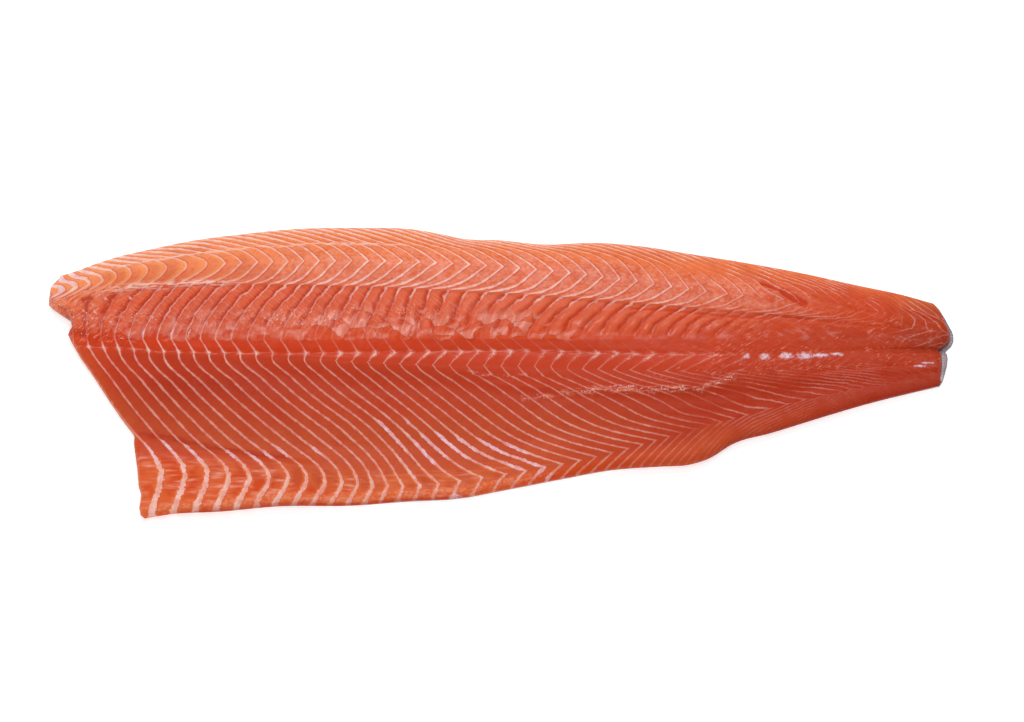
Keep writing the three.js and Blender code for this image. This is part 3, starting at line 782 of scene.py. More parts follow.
def column_places(count):
    """Columns from the head end to the tail, closer at both ends."""
    even = np.linspace(0, 1, count + 1)
    middle = CLOSER_COLUMNS["middle"] * np.sin(4 * np.pi * even) / (4 * np.pi)
    ends = CLOSER_COLUMNS["ends"] * np.sin(2 * np.pi * even) / (2 * np.pi)
    return even - middle - ends


def meet_end(row, end_curve, start):
    """X of each row's end, where the row meets an end curve."""
    x = np.full(len(row), float(start))
    for _ in range(30):
        x = end_curve(row_across(row, x))
    return x


def row_span(row, tail_curve):
    """X of the head end and of the tail end of each row."""
    known, back = np.unique(row, return_inverse=True)
    return meet_end(known, head_cut, HEAD_X)[back], meet_end(known, tail_curve, TAIL_X)[back]


def add_grid(name, columns, rows):
    """A flat grid of a known number of faces, as the start of a face of the side."""
    bpy.ops.object.select_all(action="DESELECT")
    bpy.ops.mesh.primitive_grid_add(x_subdivisions=columns, y_subdivisions=rows, size=1, location=(0, 0, 0))
    piece = bpy.context.object
    piece.name = name
    piece.data.name = name
    if len(piece.data.vertices) != (columns + 1) * (rows + 1):
        raise RuntimeError(f"the grid for {name} has {len(piece.data.vertices)} vertices")
    return piece


def grid_steps(piece, columns, rows):
    """Column and row number of each vertex of a fresh grid, the rows from back to belly."""
    places = np.empty(len(piece.data.vertices) * 3)
    piece.data.vertices.foreach_get("co", places)
    x, y, _ = places.reshape(-1, 3).T
    return np.rint((x + 0.5) * columns).astype(int), np.rint((0.5 - y) * rows).astype(int)


def part_shift():
    """How far the part's own frame lies from the sizes above, in millimetres."""
    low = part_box("flesh")[0] * 1000
    return low.x - min(x for x, _ in HEAD_CUT), low.y - min(y for _, y in BELLY_EDGE)


def put_vertices(piece, x, y, z):
    """Moves the vertices to places in the millimetres of the form."""
    shift_x, shift_y = part_shift()
    places = np.stack([x + shift_x, y + shift_y, z], 1) / 1000
    piece.data.vertices.foreach_set("co", places.ravel())
    piece.data.update()


def put_values(piece, **values):
    """Gives the vertices named values, which the materials read."""
    for name, value in values.items():
        piece.data.attributes.new(name, "FLOAT", "POINT").data.foreach_set("value", value.astype(np.float32))


def put_colour(piece, name, colour):
    """Gives the vertices a named colour, which the material reads."""
    layer = piece.data.attributes.new(name, "FLOAT_COLOR", "POINT")
    opaque = np.column_stack([colour, np.ones(len(colour))])
    layer.data.foreach_set("color", opaque.astype(np.float32).ravel())


def select_only(piece):
    """Makes the piece the only one that operators work on."""
    bpy.ops.object.select_all(action="DESELECT")
    piece.select_set(True)
    bpy.context.view_layer.objects.active = piece


def merge_doubles(piece):
    """Closes the corners and the seam under the piece, where loops end in the same points."""
    select_only(piece)
    bpy.ops.object.mode_set(mode="EDIT")
    bpy.ops.mesh.select_all(action="SELECT")
    bpy.ops.mesh.remove_doubles(threshold=2e-6)
    bpy.ops.mesh.dissolve_degenerate(threshold=1e-7)
    bpy.ops.object.mode_set(mode="OBJECT")
    bpy.ops.object.shade_smooth()


# ------------------------------------------------------------------ the flesh

def flesh_places(settings, column, row):
    """Row, x, y and loop number of each vertex of the flesh's grid."""
    inner_column = np.clip(column - RINGS, 0, settings.columns)
    inner_row = np.clip(row - RINGS, 0, settings.rows)
    ring = np.maximum(np.abs(column - RINGS - inner_column), np.abs(row - RINGS - inner_row))
    inset = np.array(RING_INSET)[ring]
    along = 0.5 + (column_places(settings.columns)[inner_column] - 0.5) * (1 - RING_END * inset)
    middle_row = LAST_LINE / 2
    place_row = middle_row + (row_places(settings.rows)[inner_row] - middle_row) * (1 - inset)
    head, tail = row_span(place_row, tail_end)
    x = head + (tail - head) * along
    return place_row, x, row_across(place_row, x), ring


def sheet_spacing(row, x):
    """Distance from one fat sheet to the next, in millimetres."""
    by_x, by_y = sheet_slope(row, x)
    return np.minimum(1 / np.maximum(np.hypot(by_x, by_y), 1e-3), WIDEST_FLAKE)


def fat_rows(kind):
    """Rows of `fat` or `white` for at_stations, with the step of the belly strip among the lines."""
    rows = [(number, getattr(line, kind)) for number, line in enumerate(LINES)]
    return sorted(rows + [(STRIP_TOP["row"], STRIP_TOP[kind])])


def sheet_edges(row, x, y):
    """Width in millimetres and paleness of the fat sheets' cut edges."""
    wet = wet_strength(x, y)
    width = at_stations(fat_rows("fat"), row, x) + WET_WIDENING * wet
    white = at_stations(fat_rows("white"), row, x)
    white += (1 - white) * wet
    white *= 1 - RIB_LINE_FADE * zone("rib lines", row, x)
    patchy = PATCHY_FAT["least"] + PATCHY_FAT["gain"] * ramp(waves("patchy fat", x, y), *PATCHY_FAT["waves"])
    white *= 1 + (patchy - 1) * ramp(x, *PATCHY_FAT["grows"])
    white *= 1 - TORN_LINE_FADE * zone("torn", row, x) * ramp(row, *TORN_LINE_ROWS)
    return width, white + END_LINES * zone("end lines", row, x)


def flesh_height(settings, row, x, y, ring, count, pitch, width):
    """Height of the upper face, of the wall around it and of the underside."""
    under = under_height(x, y)
    body = body_height(row, x) + ledges(x, y)
    nose = under + NOSE_SHARE * (body - under)
    relief = flakes(row, x, y, count, settings.flake_relief) + scraped_face(row, x, y)
    relief += settings.fine_relief * fine_relief(row, x, y, count, pitch, width)
    relief += SCRAP_HEIGHT * scrap_and_glint_strength(x, y) + SEAM_HEIGHT * seam_strength(x, y)
    relief += THREAD_HEIGHT * thread_strength(x, y) - crease_strength(x, y)[0]
    top = nose + (body + relief - nose) * fullness(x, y)
    wall = np.interp(ring, range(len(RING_WALL)), RING_WALL, right=0)
    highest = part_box("flesh")[1].z * 1000
    return np.where(ring == 0, np.clip(top, under + THINNEST, highest), under + (nose - under) * wall)


def flesh_tone(row, x, ring):
    """Colour of the lean flesh before its fat sheets; the named tones run together and darken at the tail,
    and painted shade deepens the wall.
    """
    blurred = ramp(x, *TONES_BLUR)
    ragged_row = row + blurred * waves("tones", x, 6 * row)
    parts = []
    for channel in range(3):
        rows = [(key, [linear(TONES[name])[channel] for name in names]) for key, names in TONE_ROWS]
        blur = [at_stations(rows, ragged_row + shift * blurred, x) for shift in BLUR_ROWS]
        parts.append(sum(blur) / len(blur))
    colour = np.stack(parts, 1)
    shade = ramp(x, *TAIL_SHADE["grows"]) * (1 - ramp(row, *TAIL_SHADE["rows"]))
    colour *= 1 - TAIL_SHADE["strength"] * shade[:, None]
    # Painted shade: the wall around the cut face is turned towards the deep tone.
    wall = np.clip(ring, 0, 1)[:, None] * WALL_SHADE
    return colour * (1 - wall) + np.array(linear(TONES["deep"])) * wall


# How wet and glossy the face is by row, how much less where it is torn or turned red in the creases, the
# share that it keeps outside the middle of the side, and how wet the belly strip is.
GLOSS_BY_ROW = ((0, 1, 1.8, 2.95, 3.05, 3.4, 3.6, 3.85, 4.05, 4.6, 5, 5.4, 6, 7, 10),
                (0.1, 0.15, 0.25, 0.3, 0.15, 0.3, 0.9, 1, 0.12, 0.05, 0.12, 0.08, 0.05, 0.03, 0.03))
GLOSS = {"torn": 0.6, "red_creases": 0.5, "kept": 0.55, "middle": (-190, -110, 120, 180), "strip": 0.12}


def glossy(row, x, red_crease):
    """How wet and glossy the upper face is: most on the scraped flakes, least where it is torn or split."""
    gloss = np.interp(row, *GLOSS_BY_ROW) * (1 - GLOSS["torn"] * zone("torn", row, x))
    gloss *= 1 - GLOSS["red_creases"] * red_crease
    gloss *= GLOSS["kept"] + (1 - GLOSS["kept"]) * plateau(x, *GLOSS["middle"])
    return gloss + GLOSS["strip"] * zone("strip", row, x)


# Where along the side the masks rise or fall: x from and to.
FIBRES_FADE, SHEEN_GROWS, RAGGED_GROWS = (-20, 40), (-150, -90), (100, 220)
EDGE_HIGHLIGHT_FADE, EDGE_SHADE_GROWS, EDGE_SHADE_GAP = (0, 60), (-240, -200), (-60, 0, 130, 170)
# Millimetres in from the belly edge and from the head cut where the painted highlight, the painted shade and
# the orange band lie.
EDGE_HIGHLIGHT_INSET, EDGE_HIGHLIGHT_WIDTH, EDGE_SHADE_WIDTH, CUT_EDGE_WIDTH = 4, 3, 1.1, 2.5
LOWER_HEAD_CUT = HEAD_CUT[9:]
# The knots are drawn as if the sheets that they sit on lay KNOT_PITCH millimetres apart.
KNOT_PITCH, KNOT_WIDTH = 10, 1.3
# What is lost of the fibres and of the painted shade on the lower edge where they fade, and the least of the
# sheen and of the flecks and painted glints.
FIBRES_LOST, EDGE_SHADE_LOST, SHEEN_LEAST, FLECKS_LEAST = 0.8, 0.75, 0.45, 0.35
BROKEN_FLECKS, BROKEN_SMEARS = (0.4, 0.7), (-0.6, 0.1)
# How far the cut edges of the sheets wander: everywhere, and what the ribs and the tail add.
RAGGED = {"least": 0.25, "ribs": 0.5, "tail": 0.6}


def flesh_masks(row, x, y, count, ring):
    """Where each kind of surface shows, from 0 to 1."""
    ribs, scraped, strip = zone("ribs", row, x), in_scraped(row, x), zone("strip", row, x)
    _, red_crease, dark_crease = crease_strength(x, y)
    broken = 0.5 + waves("patches", x, y)
    lower_edge = line_across[LAST_LINE](x) - y
    smeared_strip = zone("strip middle", row, x) * ramp(waves("strip smears", x, 2 * y), *BROKEN_SMEARS)
    # Painted highlight a little inside the belly edge.
    edge_light = np.exp(-((lower_edge + EDGE_HIGHLIGHT_INSET) / EDGE_HIGHLIGHT_WIDTH) ** 2)
    # Painted shade: a dark line right on the belly edge.
    edge_dark = np.exp(-(lower_edge / EDGE_SHADE_WIDTH) ** 2) * ramp(x, *EDGE_SHADE_GROWS)
    knot = line_bump(count, KNOT_PITCH, np.full(len(x), KNOT_WIDTH))
    flecks = ramp(broken, *BROKEN_FLECKS)
    masks = {name: zone(name, row, x) for name in ("loin", "hollow", "strip", "torn", "tiles")}
    return masks | {
        "channel": ribs,
        "fibrous": ribs * (1 - FIBRES_LOST * ramp(x, *FIBRES_FADE)),
        "scraped": scraped,
        "smeared": scraped * zone("smeared white", row, x),
        "sheened": scraped * (SHEEN_LEAST + (1 - SHEEN_LEAST) * ramp(x, *SHEEN_GROWS)),
        "gloss": glossy(row, x, red_crease) * (ring == 0),
        "speckle": zone("speckle", row + waves("speckle", x, y), x) * broken,
        "knots": knot * zone("knots", row, x) * broken,
        "seam": seam_strength(x, y),
        "fuzz": thread_strength(x, y),
        "scrap": scrap_and_glint_strength(x, y),
        "wet": wet_strength(x, y),
        "crease": red_crease,
        "dark_crease": dark_crease,
        "strip_smears": strip * smeared_strip,
        "ragged": RAGGED["least"] + RAGGED["ribs"] * ribs + strip + RAGGED["tail"] * ramp(x, *RAGGED_GROWS),
        "flecked": zone("flecked", row, x) * (FLECKS_LEAST + (1 - FLECKS_LEAST) * flecks),
        "edge_light": edge_light * (1 - ramp(x, *EDGE_HIGHLIGHT_FADE)) * (ring == 0),
        "edge_dark": edge_dark * (1 - EDGE_SHADE_LOST * plateau(x, *EDGE_SHADE_GAP)),
        "cut_edge": np.exp(-distance_to_path(LOWER_HEAD_CUT, x, y) / CUT_EDGE_WIDTH) * (ring == 0),
    }


# Main direction of the fat sheets' cut edges, from each row on.
SHEET_DIRECTIONS = [
    (0, (0.97, -0.24)), (1, (0.8, -0.6)), (2, (-0.8, -0.6)), (3, (-0.6, -0.8)), (4, (0.5, -0.87)),
    (7, (0.83, -0.56)), (8.8, (0, -1)),
]


def along_sheet(row, x, y):
    """Millimetres along the fat sheets' cut edges."""
    along = np.zeros(len(x))
    for start, (dx, dy) in SHEET_DIRECTIONS:
        along = np.where(row >= start, x * dx + y * dy, along)
    return along


def build_flesh(settings):
    """The cut face, the wall around it and the underside, in one closed mesh."""
    columns, rows = settings.columns + 2 * RINGS, settings.rows + 2 * RINGS
    piece = add_grid("cut_flesh", columns, rows)
    row, x, y, ring = flesh_places(settings, *grid_steps(piece, columns, rows))
    count = uneven_count(row, x, y, sheet_count(row, x))
    pitch = sheet_spacing(row, x)
    width, white = sheet_edges(row, x, y)
    put_vertices(piece, x, y, flesh_height(settings, row, x, y, ring, count, pitch, width))
    put_values(piece, sheet=count, pitch=pitch, fat_width=width, fat_white=white,
               along=along_sheet(row, x, y), **flesh_masks(row, x, y, count, ring))
    put_colour(piece, "tone", flesh_tone(row, x, ring))
    merge_doubles(piece)
    return piece


# ------------------------------------------------------------------ the skin

SKIN_EDGE_ROWS = (0.08, 9.9)  # the skin ends just inside the long edges
SKIN_HEAD_INSET = 1.5
BARE_FADE = 1.5  # how soon the bare inner face of the tail begins past the flesh
OUTLINE_WIDTH = 0.8  # of the dark line round the tail end of the skin


def offset_under(x, y, distance):
    """Points under the flesh, moved outward by a distance along the underside's normal."""
    step = 0.5
    height = under_height(x, y)
    slope_x = (under_height(x + step, y) - height) / step
    slope_y = (under_height(x, y + step) - height) / step
    length = np.sqrt(slope_x ** 2 + slope_y ** 2 + 1)
    return x + slope_x / length * distance, y + slope_y / length * distance, height - distance / length


def build_skin(settings):
    """A sheet under the flesh that stands out past it at the tail."""
    columns, rows = settings.columns, settings.rows
    piece = add_grid("fish_skin", columns, rows)
    column, row = grid_steps(piece, columns, rows)
    place_row = SKIN_EDGE_ROWS[0] + (SKIN_EDGE_ROWS[1] - SKIN_EDGE_ROWS[0]) * row / rows
    head, flesh_tail = row_span(place_row, tail_end)
    head = head + SKIN_HEAD_INSET
    tail = row_span(place_row, skin_tail_end)[1]
    x = head + (tail - head) * column_places(columns)[column]
    y = row_across(place_row, x)
    put_vertices(piece, *offset_under(x, y, SKIN_GAP))
    put_values(piece, past_flesh=np.clip((x - flesh_tail) / BARE_FADE, 0, 1), skin_row=place_row,
               outline=np.exp((x - tail) / OUTLINE_WIDTH))
    thicken(piece, SKIN_THICKNESS)
    return piece


def thicken(piece, thickness):
    """Gives a sheet its thickness downward."""
    select_only(piece)
    solidify = piece.modifiers.new("thickness", "SOLIDIFY")
    solidify.thickness = thickness / 1000
    solidify.offset = -1
    bpy.ops.object.modifier_apply(modifier=solidify.name)
    bpy.ops.object.shade_smooth_by_angle(angle=0.9)


# ------------------------------------------------------------------ materials

def new_material(name):
    """A material with an empty node tree."""
    material = bpy.data.materials.new(name)
    material.use_nodes = True
    material.node_tree.nodes.clear()
    return material


def add(tree, kind, inputs=None, out=0, **settings):
    """Adds a shader node, sets it up, links or fills its inputs and gives back one of its outputs."""
    made = tree.nodes.new("ShaderNode" + kind)
    for name, value in settings.items():
        setattr(made, name, value)
    for key, value in (inputs or {}).items():
        socket = made.inputs[key]
        if isinstance(value, bpy.types.NodeSocket):
            tree.links.new(value, socket)
        else:
            socket.default_value = (*value, 1) if socket.type == "RGBA" and len(value) == 3 else value
    return made.outputs[out] if made.outputs else made


# Random patterns: name, size in millimetres, detail, roughness, length and width as parts of the size, and
# how far the length is turned from X, in degrees. The finest real grain of the muscle, about 0.1 mm, would
# not show, so "grain" is drawn coarser.
SPECKLES = [
    ("blotches", 18, 3, 0.5, 1, 1, 0),
    ("patches", 6, 3, 0.55, 1.25, 1, 0),
    ("flecks", 2.2, 3, 0.6, 1.25, 0.9, 0),
    ("grain", 0.9, 2, 0.6, 1, 1, 0),
    ("threads", 2.2, 3, 0.6, 3.4, 0.5, 5),
    ("diagonals", 2.4, 3, 0.6, 4, 0.7, 36),
    ("streaks", 3.4, 3, 0.5, 4.5, 0.7, 0),
    ("flicks", 1.9, 3, 0.6, 2.2, 0.6, 33),
    ("smears", 6, 2, 0.5, 1.25, 1, 30),
    ("bends", 6, 2, 0.5, 1, 1, 0),
    ("nicks", 1.5, 2, 0.5, 1, 1, 0),
    ("beads", 3.2, 2, 0.5, 1, 1, 0),
    ("gaps", 5, 2, 0.5, 1, 1, 0),
]

# Layers of colour on the lean flesh, from the bottom up: colour, pattern, the values of the pattern between
# which the layer grows, its strength, and the mask that limits it.
FLESH_LAYERS = [
    ("deep", "blotches", 0.45, 0.7, 0.25, None),
    ("pink", "patches", 0.4, 0.65, 0.3, "loin"),
    ("red", "flecks", 0.52, 0.66, 0.25, None),
    ("pink", "flecks", 0.5, 0.4, 0.3, "loin"),
    ("red", "diagonals", 0.5, 0.4, 0.7, "torn"),
    ("pale", "diagonals", 0.54, 0.64, 0.65, "torn"),
    ("pale", "fibres", 0.5, 0.75, 0.03, None),
    ("orange", "fibres", 0.4, 0.8, 0.03, "hollow"),
    ("deep", "smears", 0.45, 0.7, 0.2, "hollow"),
    ("deep", "grain", 0.55, 0.72, 0.25, None),
    # Pale flicks are painted glints on the lumpy tail; the dark flicks below are flecks in the muscle.
    ("pale", "flicks", 0.57, 0.68, 0.65, "flecked"),
    ("deep", "flicks", 0.47, 0.36, 0.25, "flecked"),
    ("orange", "blotches", 0.4, 0.6, 0.5, "strip"),
    ("pale", "streaks", 0.38, 0.68, 0.5, "strip_smears"),
    ("fat", "streaks", 0.54, 0.8, 0.4, "strip_smears"),
    ("orange", "halo", 0, 1, 0.65, "strip"),
    # Painted highlight a little inside the belly edge, orange with pale flecks.
    ("orange", "edge_light", 0, 1, 0.5, None),
    ("pale", "flecks", 0.45, 0.6, 0.6, "edge_light"),
    # Painted glow of light through the thin ends of the flakes.
    ("glow", "flake_end_glow", 0, 1, 0.5, "tiles"),
    # Painted shade on one side of each fat sheet.
    ("red", "beside", 0, 1, 0.55, None),
    # Painted highlight on the face of each rib.
    ("pale", "rib_highlight", 0, 1, 0.2, "channel"),
    ("pale", "fibres", 0.45, 0.68, 0.3, "fibrous"),
    # Painted shade in the grooves between the ribs.
    ("deep", "rib_groove_shade", 0, 1, 0.65, "channel"),
    # Painted sheen on the smeared scales.
    ("sheen", "shards", 0.36, 0.6, 0.7, "sheened"),
    ("fat", "smears", 0.54, 0.66, 0.12, "smeared"),
    ("deep", "shard_edge", 0.05, 0.015, 0.5, "sheened"),
    ("red", "crease", 0, 1, 1, None),
    # Painted shade in the creases.
    ("deep", "dark_crease", 0, 1, 0.9, None),
]
# Layers over the fat sheets.
TOP_LAYERS = [
    ("fat", "threads", 0.44, 0.54, 0.75, "seam"),
    ("torn", "threads", 0.46, 0.56, 0.8, "fuzz"),
    ("scrap", "nicks", 0.56, 0.66, 0.7, "fuzz"),
    # Painted glints on the torn head end.
    ("scrap", "nicks", 0.67, 0.73, 0.75, "torn"),
    # Painted glints along the scraped flakes near the head end.
    ("fat", "nicks", 0.56, 0.66, 0.6, "speckle"),
    ("fat", "nicks", 0.35, 0.5, 0.85, "knots"),
    ("orange", "grain", 0.35, 0.6, 0.6, "cut_edge"),
    # Scraps of fat and sinew, and the spots of painted glints.
    ("scrap", "nicks", 0.25, 0.6, 0.8, "scrap"),
    # Painted shade along the belly edge.
    ("dark", "edge_dark", 0, 1, 0.6, None),
]
# Layers on the fat: lilac in patches and where it is thick and wet, partly the fat's own colour and partly
# painted sheen.
FAT_LAYERS = [
    ("lilac", "patches", 0.5, 0.62, 0.35, None),
    ("lilac", "wet", 0, 1, 0.9, None),
]
FLESH_COLOURS = ("deep", "red", "pale", "fat", "lilac", "scrap", "torn", "dark", "orange", "glow", "pink",
                 "sheen")

# How wide the cut edge of a fat sheet is between its thinnest and thickest beads, as parts of its half width,
# and how far the soft edge, the shade beside it and the halo round it reach, in millimetres.
BEADS = (0.3, 0.68)
SOFT_EDGE, SHADE_REACH, HALO_REACH = (-0.3, 0.35), 1.5, 2.2
WIDEST_FAT = 0.26  # of the distance from sheet to sheet
# Parts of the flesh from one sheet to the next, which carry the painted glow of a flake's thin end, the
# painted highlight on a rib's face and the painted shade in its groove: start, full strength from and to,
# end.
RIB_PARTS = {"flake_end_glow": (0.45, 0.9, 0.96, 1), "rib_highlight": (0.02, 0.25, 0.45, 0.8),
             "rib_groove_shade": (0.55, 0.95, 1, 1.01)}
# Smeared scales, which place the painted sheen, the wet patches and the bumps: how many to the metre, metres
# across them that one fat sheet takes up, how far and how finely they are bent, how they are turned and
# stretched, half their length, and how much of their value comes from their lower end, where the painted
# sheen is brightest.
SHARDS = {"scale": 135.0, "pitch": 0.008, "bend": (0.006, 0.005, 0), "bend_scale": 150.0, "turn": 0.3,
          "stretch": (0.95, 1.1, 1), "half": 0.003, "end_share": 0.45}
LARGE_BENDS, SMALL_BENDS = 1.6, 1.2  # millimetres that the cut edges of the sheets wander
BROKEN_LINES = (0.35, 0.6, 0.55)  # values of "gaps" between which a sheet fades, and what is left of it
FIBRE_SCALE = 950
STAINED_FAT = (0.45, 0.75, 0.3)  # values of "grain" between which the lean flesh stains the fat, and how far
# Bumps too fine for the mesh: pattern and strength, then pattern and the mask inside which it shows.
FINE_BUMPS = (("fibres", 0.12), ("flecks", 0.5), ("grain", 0.3), ("line", 0.35))
MASKED_BUMPS = (("threads", "fuzz"), ("shards", "scraped"))
MASKED_BUMP = 1.5
# Roughness of the moist face, what scraping adds to it, and how the wet coat varies by patch and overall.
ROUGHNESS, SCRAPED_ROUGHNESS = (0.4, 0.55), -0.2
PATCHY_COAT, COAT = (0.15, 0.9), (0.03, 0.7)


def speckle_patterns(tree, place):
    """One noise for each of SPECKLES, by name."""
    patterns = {}
    for name, size, detail, roughness, length, width, turn in SPECKLES:
        turned = add(tree, "Mapping", {"Vector": place, "Rotation": (0, 0, np.radians(turn)),
                                       "Scale": (length, width, 1)}, vector_type="TEXTURE")
        patterns[name] = add(tree, "TexNoise", {"Vector": turned, "Scale": 1000 / size, "Detail": detail,
                                                "Roughness": roughness})
    return patterns


def shard_patterns(tree, patterns, place):
    """Angular smeared scales in line with the ribs, each with its own value that grows towards its lower end,
    and how far their edges are; the value places the painted sheen.
    """
    across_ribs = add(tree, "Math", {0: patterns["sheet"], 1: SHARDS["pitch"]}, operation="MULTIPLY")
    down = add(tree, "SeparateXYZ", {0: place}, out=1)
    place_on_ribs = add(tree, "CombineXYZ", {0: across_ribs, 1: down})
    bend = add(tree, "TexNoise", {"Vector": place, "Scale": SHARDS["bend_scale"], "Detail": 2.0}, out=1)
    bend = add(tree, "VectorMath", {0: bend, 1: SHARDS["bend"]}, operation="MULTIPLY")
    bent = add(tree, "VectorMath", {0: place_on_ribs, 1: bend})
    bent = add(tree, "Mapping", {"Vector": bent, "Rotation": (0, 0, SHARDS["turn"]),
                                 "Scale": SHARDS["stretch"]}, vector_type="TEXTURE")
    scales = {"Vector": bent, "Scale": SHARDS["scale"]}
    centre = add(tree, "TexVoronoi", scales, out=2, voronoi_dimensions="2D")
    shade = add(tree, "SeparateColor", {0: centre.node.outputs[1]})
    from_centre = add(tree, "VectorMath", {0: bent, 1: centre}, operation="SUBTRACT")
    from_centre = add(tree, "SeparateXYZ", {0: from_centre}, out=1)
    lower_end = add(tree, "MapRange", {0: from_centre, 1: SHARDS["half"], 2: -SHARDS["half"]})
    patterns["shards"] = add(tree, "Mix", {0: SHARDS["end_share"], 2: shade, 3: lower_end})
    patterns["shard_edge"] = add(tree, "TexVoronoi", scales, voronoi_dimensions="2D",
                                 feature="DISTANCE_TO_EDGE")


def lay_colours(tree, colour, layers, colours, patterns):
    """Mixes layers over a colour; see FLESH_LAYERS."""
    for name, pattern, low, high, strength, mask in layers:
        amount = add(tree, "MapRange", {0: patterns[pattern], 1: low, 2: high, 4: strength},
                     interpolation_type="SMOOTHSTEP")
        if mask:
            amount = add(tree, "Math", {0: amount, 1: patterns[mask]}, operation="MULTIPLY")
        colour = add(tree, "Mix", {0: amount, 6: colour, 7: colours[name]}, out=2, data_type="RGBA")
    return colour


def place_beside_sheet(tree, patterns):
    """Millimetres past the nearest fat sheet, less than 0 before it, with small random bends."""
    bend = add(tree, "Math", {0: patterns["bends"], 1: LARGE_BENDS, 2: -LARGE_BENDS / 2},
               operation="MULTIPLY_ADD")
    bend = add(tree, "Math", {0: patterns["nicks"], 1: SMALL_BENDS, 2: bend}, operation="MULTIPLY_ADD")
    bend = add(tree, "Math", {0: bend, 1: SMALL_BENDS / 2}, operation="SUBTRACT")
    part = add(tree, "Math", {0: patterns["sheet"], 1: 0.5}, operation="ADD")
    part = add(tree, "Math", {0: part}, operation="FRACT")
    part = add(tree, "Math", {0: part, 1: 0.5}, operation="SUBTRACT")
    side = add(tree, "Math", {0: part, 1: patterns["pitch"]}, operation="MULTIPLY")
    return add(tree, "Math", {0: bend, 1: patterns["ragged"], 2: side}, operation="MULTIPLY_ADD")


def line_patterns(tree, patterns, fat_width):
    """The cut edges of the fat sheets, the shade on one side of them and the halo round them."""
    side = place_beside_sheet(tree, patterns)
    away = add(tree, "Math", {0: side}, operation="ABSOLUTE")
    widest = add(tree, "Math", {0: patterns["pitch"], 1: WIDEST_FAT}, operation="MULTIPLY")
    half = add(tree, "MapRange", {0: patterns["beads"], 1: 0.3, 2: 0.7, 3: BEADS[0] * fat_width,
                                  4: BEADS[1] * fat_width})
    half = add(tree, "Math", {0: half, 1: patterns["fat_width"]}, operation="MULTIPLY")
    half = add(tree, "Math", {0: half, 1: widest}, operation="MINIMUM")
    inner, outer, shade_end, halo_end = [add(tree, "Math", {0: half, 1: reach}, operation="ADD")
                                         for reach in (*SOFT_EDGE, SHADE_REACH, HALO_REACH)]

    line = add(tree, "MapRange", {0: away, 1: outer, 2: inner}, interpolation_type="SMOOTHSTEP")
    low, high, left = BROKEN_LINES
    whole = add(tree, "MapRange", {0: patterns["gaps"], 1: low, 2: high, 3: left, 4: 1})
    line = add(tree, "Math", {0: line, 1: whole}, operation="MULTIPLY")
    beside = add(tree, "MapRange", {0: side, 1: shade_end, 2: half}, interpolation_type="SMOOTHSTEP")
    pale_enough = add(tree, "MapRange", {0: patterns["fat_white"], 1: 0, 2: 0.5})
    beside = add(tree, "Math", {0: beside, 1: pale_enough}, operation="MULTIPLY")
    one_side = add(tree, "Math", {0: side, 1: 0}, operation="GREATER_THAN")
    patterns.update({
        "line": add(tree, "Math", {0: line, 1: patterns["fat_white"]}, operation="MULTIPLY"),
        "beside": add(tree, "Math", {0: beside, 1: one_side}, operation="MULTIPLY"),
        "halo": add(tree, "MapRange", {0: away, 1: halo_end, 2: half}, interpolation_type="SMOOTHSTEP"),
    })


def rib_patterns(tree, patterns):
    """Muscle fibres along the fat sheets, and the parts of a rib from one sheet to the next that carry its
    painted glow, highlight and shade.
    """
    across, along = [add(tree, "Math", {0: patterns[name], 1: 0.001}, operation="MULTIPLY")
                     for name in ("sheet", "along")]
    fibre_place = add(tree, "CombineXYZ", {0: across, 1: along})
    patterns["fibres"] = add(tree, "TexNoise", {"Vector": fibre_place, "Scale": FIBRE_SCALE, "Detail": 3})
    part = add(tree, "Math", {0: patterns["sheet"]}, operation="FRACT")
    for name, (start, full, fading, end) in RIB_PARTS.items():
        rise = add(tree, "MapRange", {0: part, 1: start, 2: full}, interpolation_type="SMOOTHSTEP")
        fall = add(tree, "MapRange", {0: part, 1: end, 2: fading}, interpolation_type="SMOOTHSTEP")
        patterns[name] = add(tree, "Math", {0: rise, 1: fall}, operation="MULTIPLY")


def flesh_colour(tree, settings, patterns):
    """Lean muscle with its layers, the fat sheets stained by it, and what lies on top."""
    colours = {name: getattr(settings, name + "_colour") for name in FLESH_COLOURS}
    tone = add(tree, "Attribute", out="Color", attribute_name="tone")
    lean = lay_colours(tree, tone, FLESH_LAYERS, colours, patterns)
    fat = lay_colours(tree, tuple(settings.fat_colour), FAT_LAYERS, colours, patterns)
    low, high, most = STAINED_FAT
    stain = add(tree, "MapRange", {0: patterns["grain"], 1: low, 2: high, 4: most})
    fat = add(tree, "Mix", {0: stain, 6: fat, 7: tone}, out=2, data_type="RGBA")
    colour = add(tree, "Mix", {0: patterns["line"], 6: lean, 7: fat}, out=2, data_type="RGBA")
    return lay_colours(tree, colour, TOP_LAYERS, colours, patterns)


def flesh_bump(tree, patterns):
    """Relief too fine for the mesh: fibres, flecks, the fat sheets, torn threads and smeared scales."""
    height = 0.0
    for pattern, strength in FINE_BUMPS:
        height = add(tree, "Math", {0: patterns[pattern], 1: strength, 2: height}, operation="MULTIPLY_ADD")
    for pattern, mask in MASKED_BUMPS:
        part = add(tree, "Math", {0: patterns[pattern], 1: patterns[mask]}, operation="MULTIPLY")
        height = add(tree, "Math", {0: part, 1: MASKED_BUMP, 2: height}, operation="MULTIPLY_ADD")
    return add(tree, "Bump", {"Strength": 0.6, "Distance": 0.0004, "Height": height})


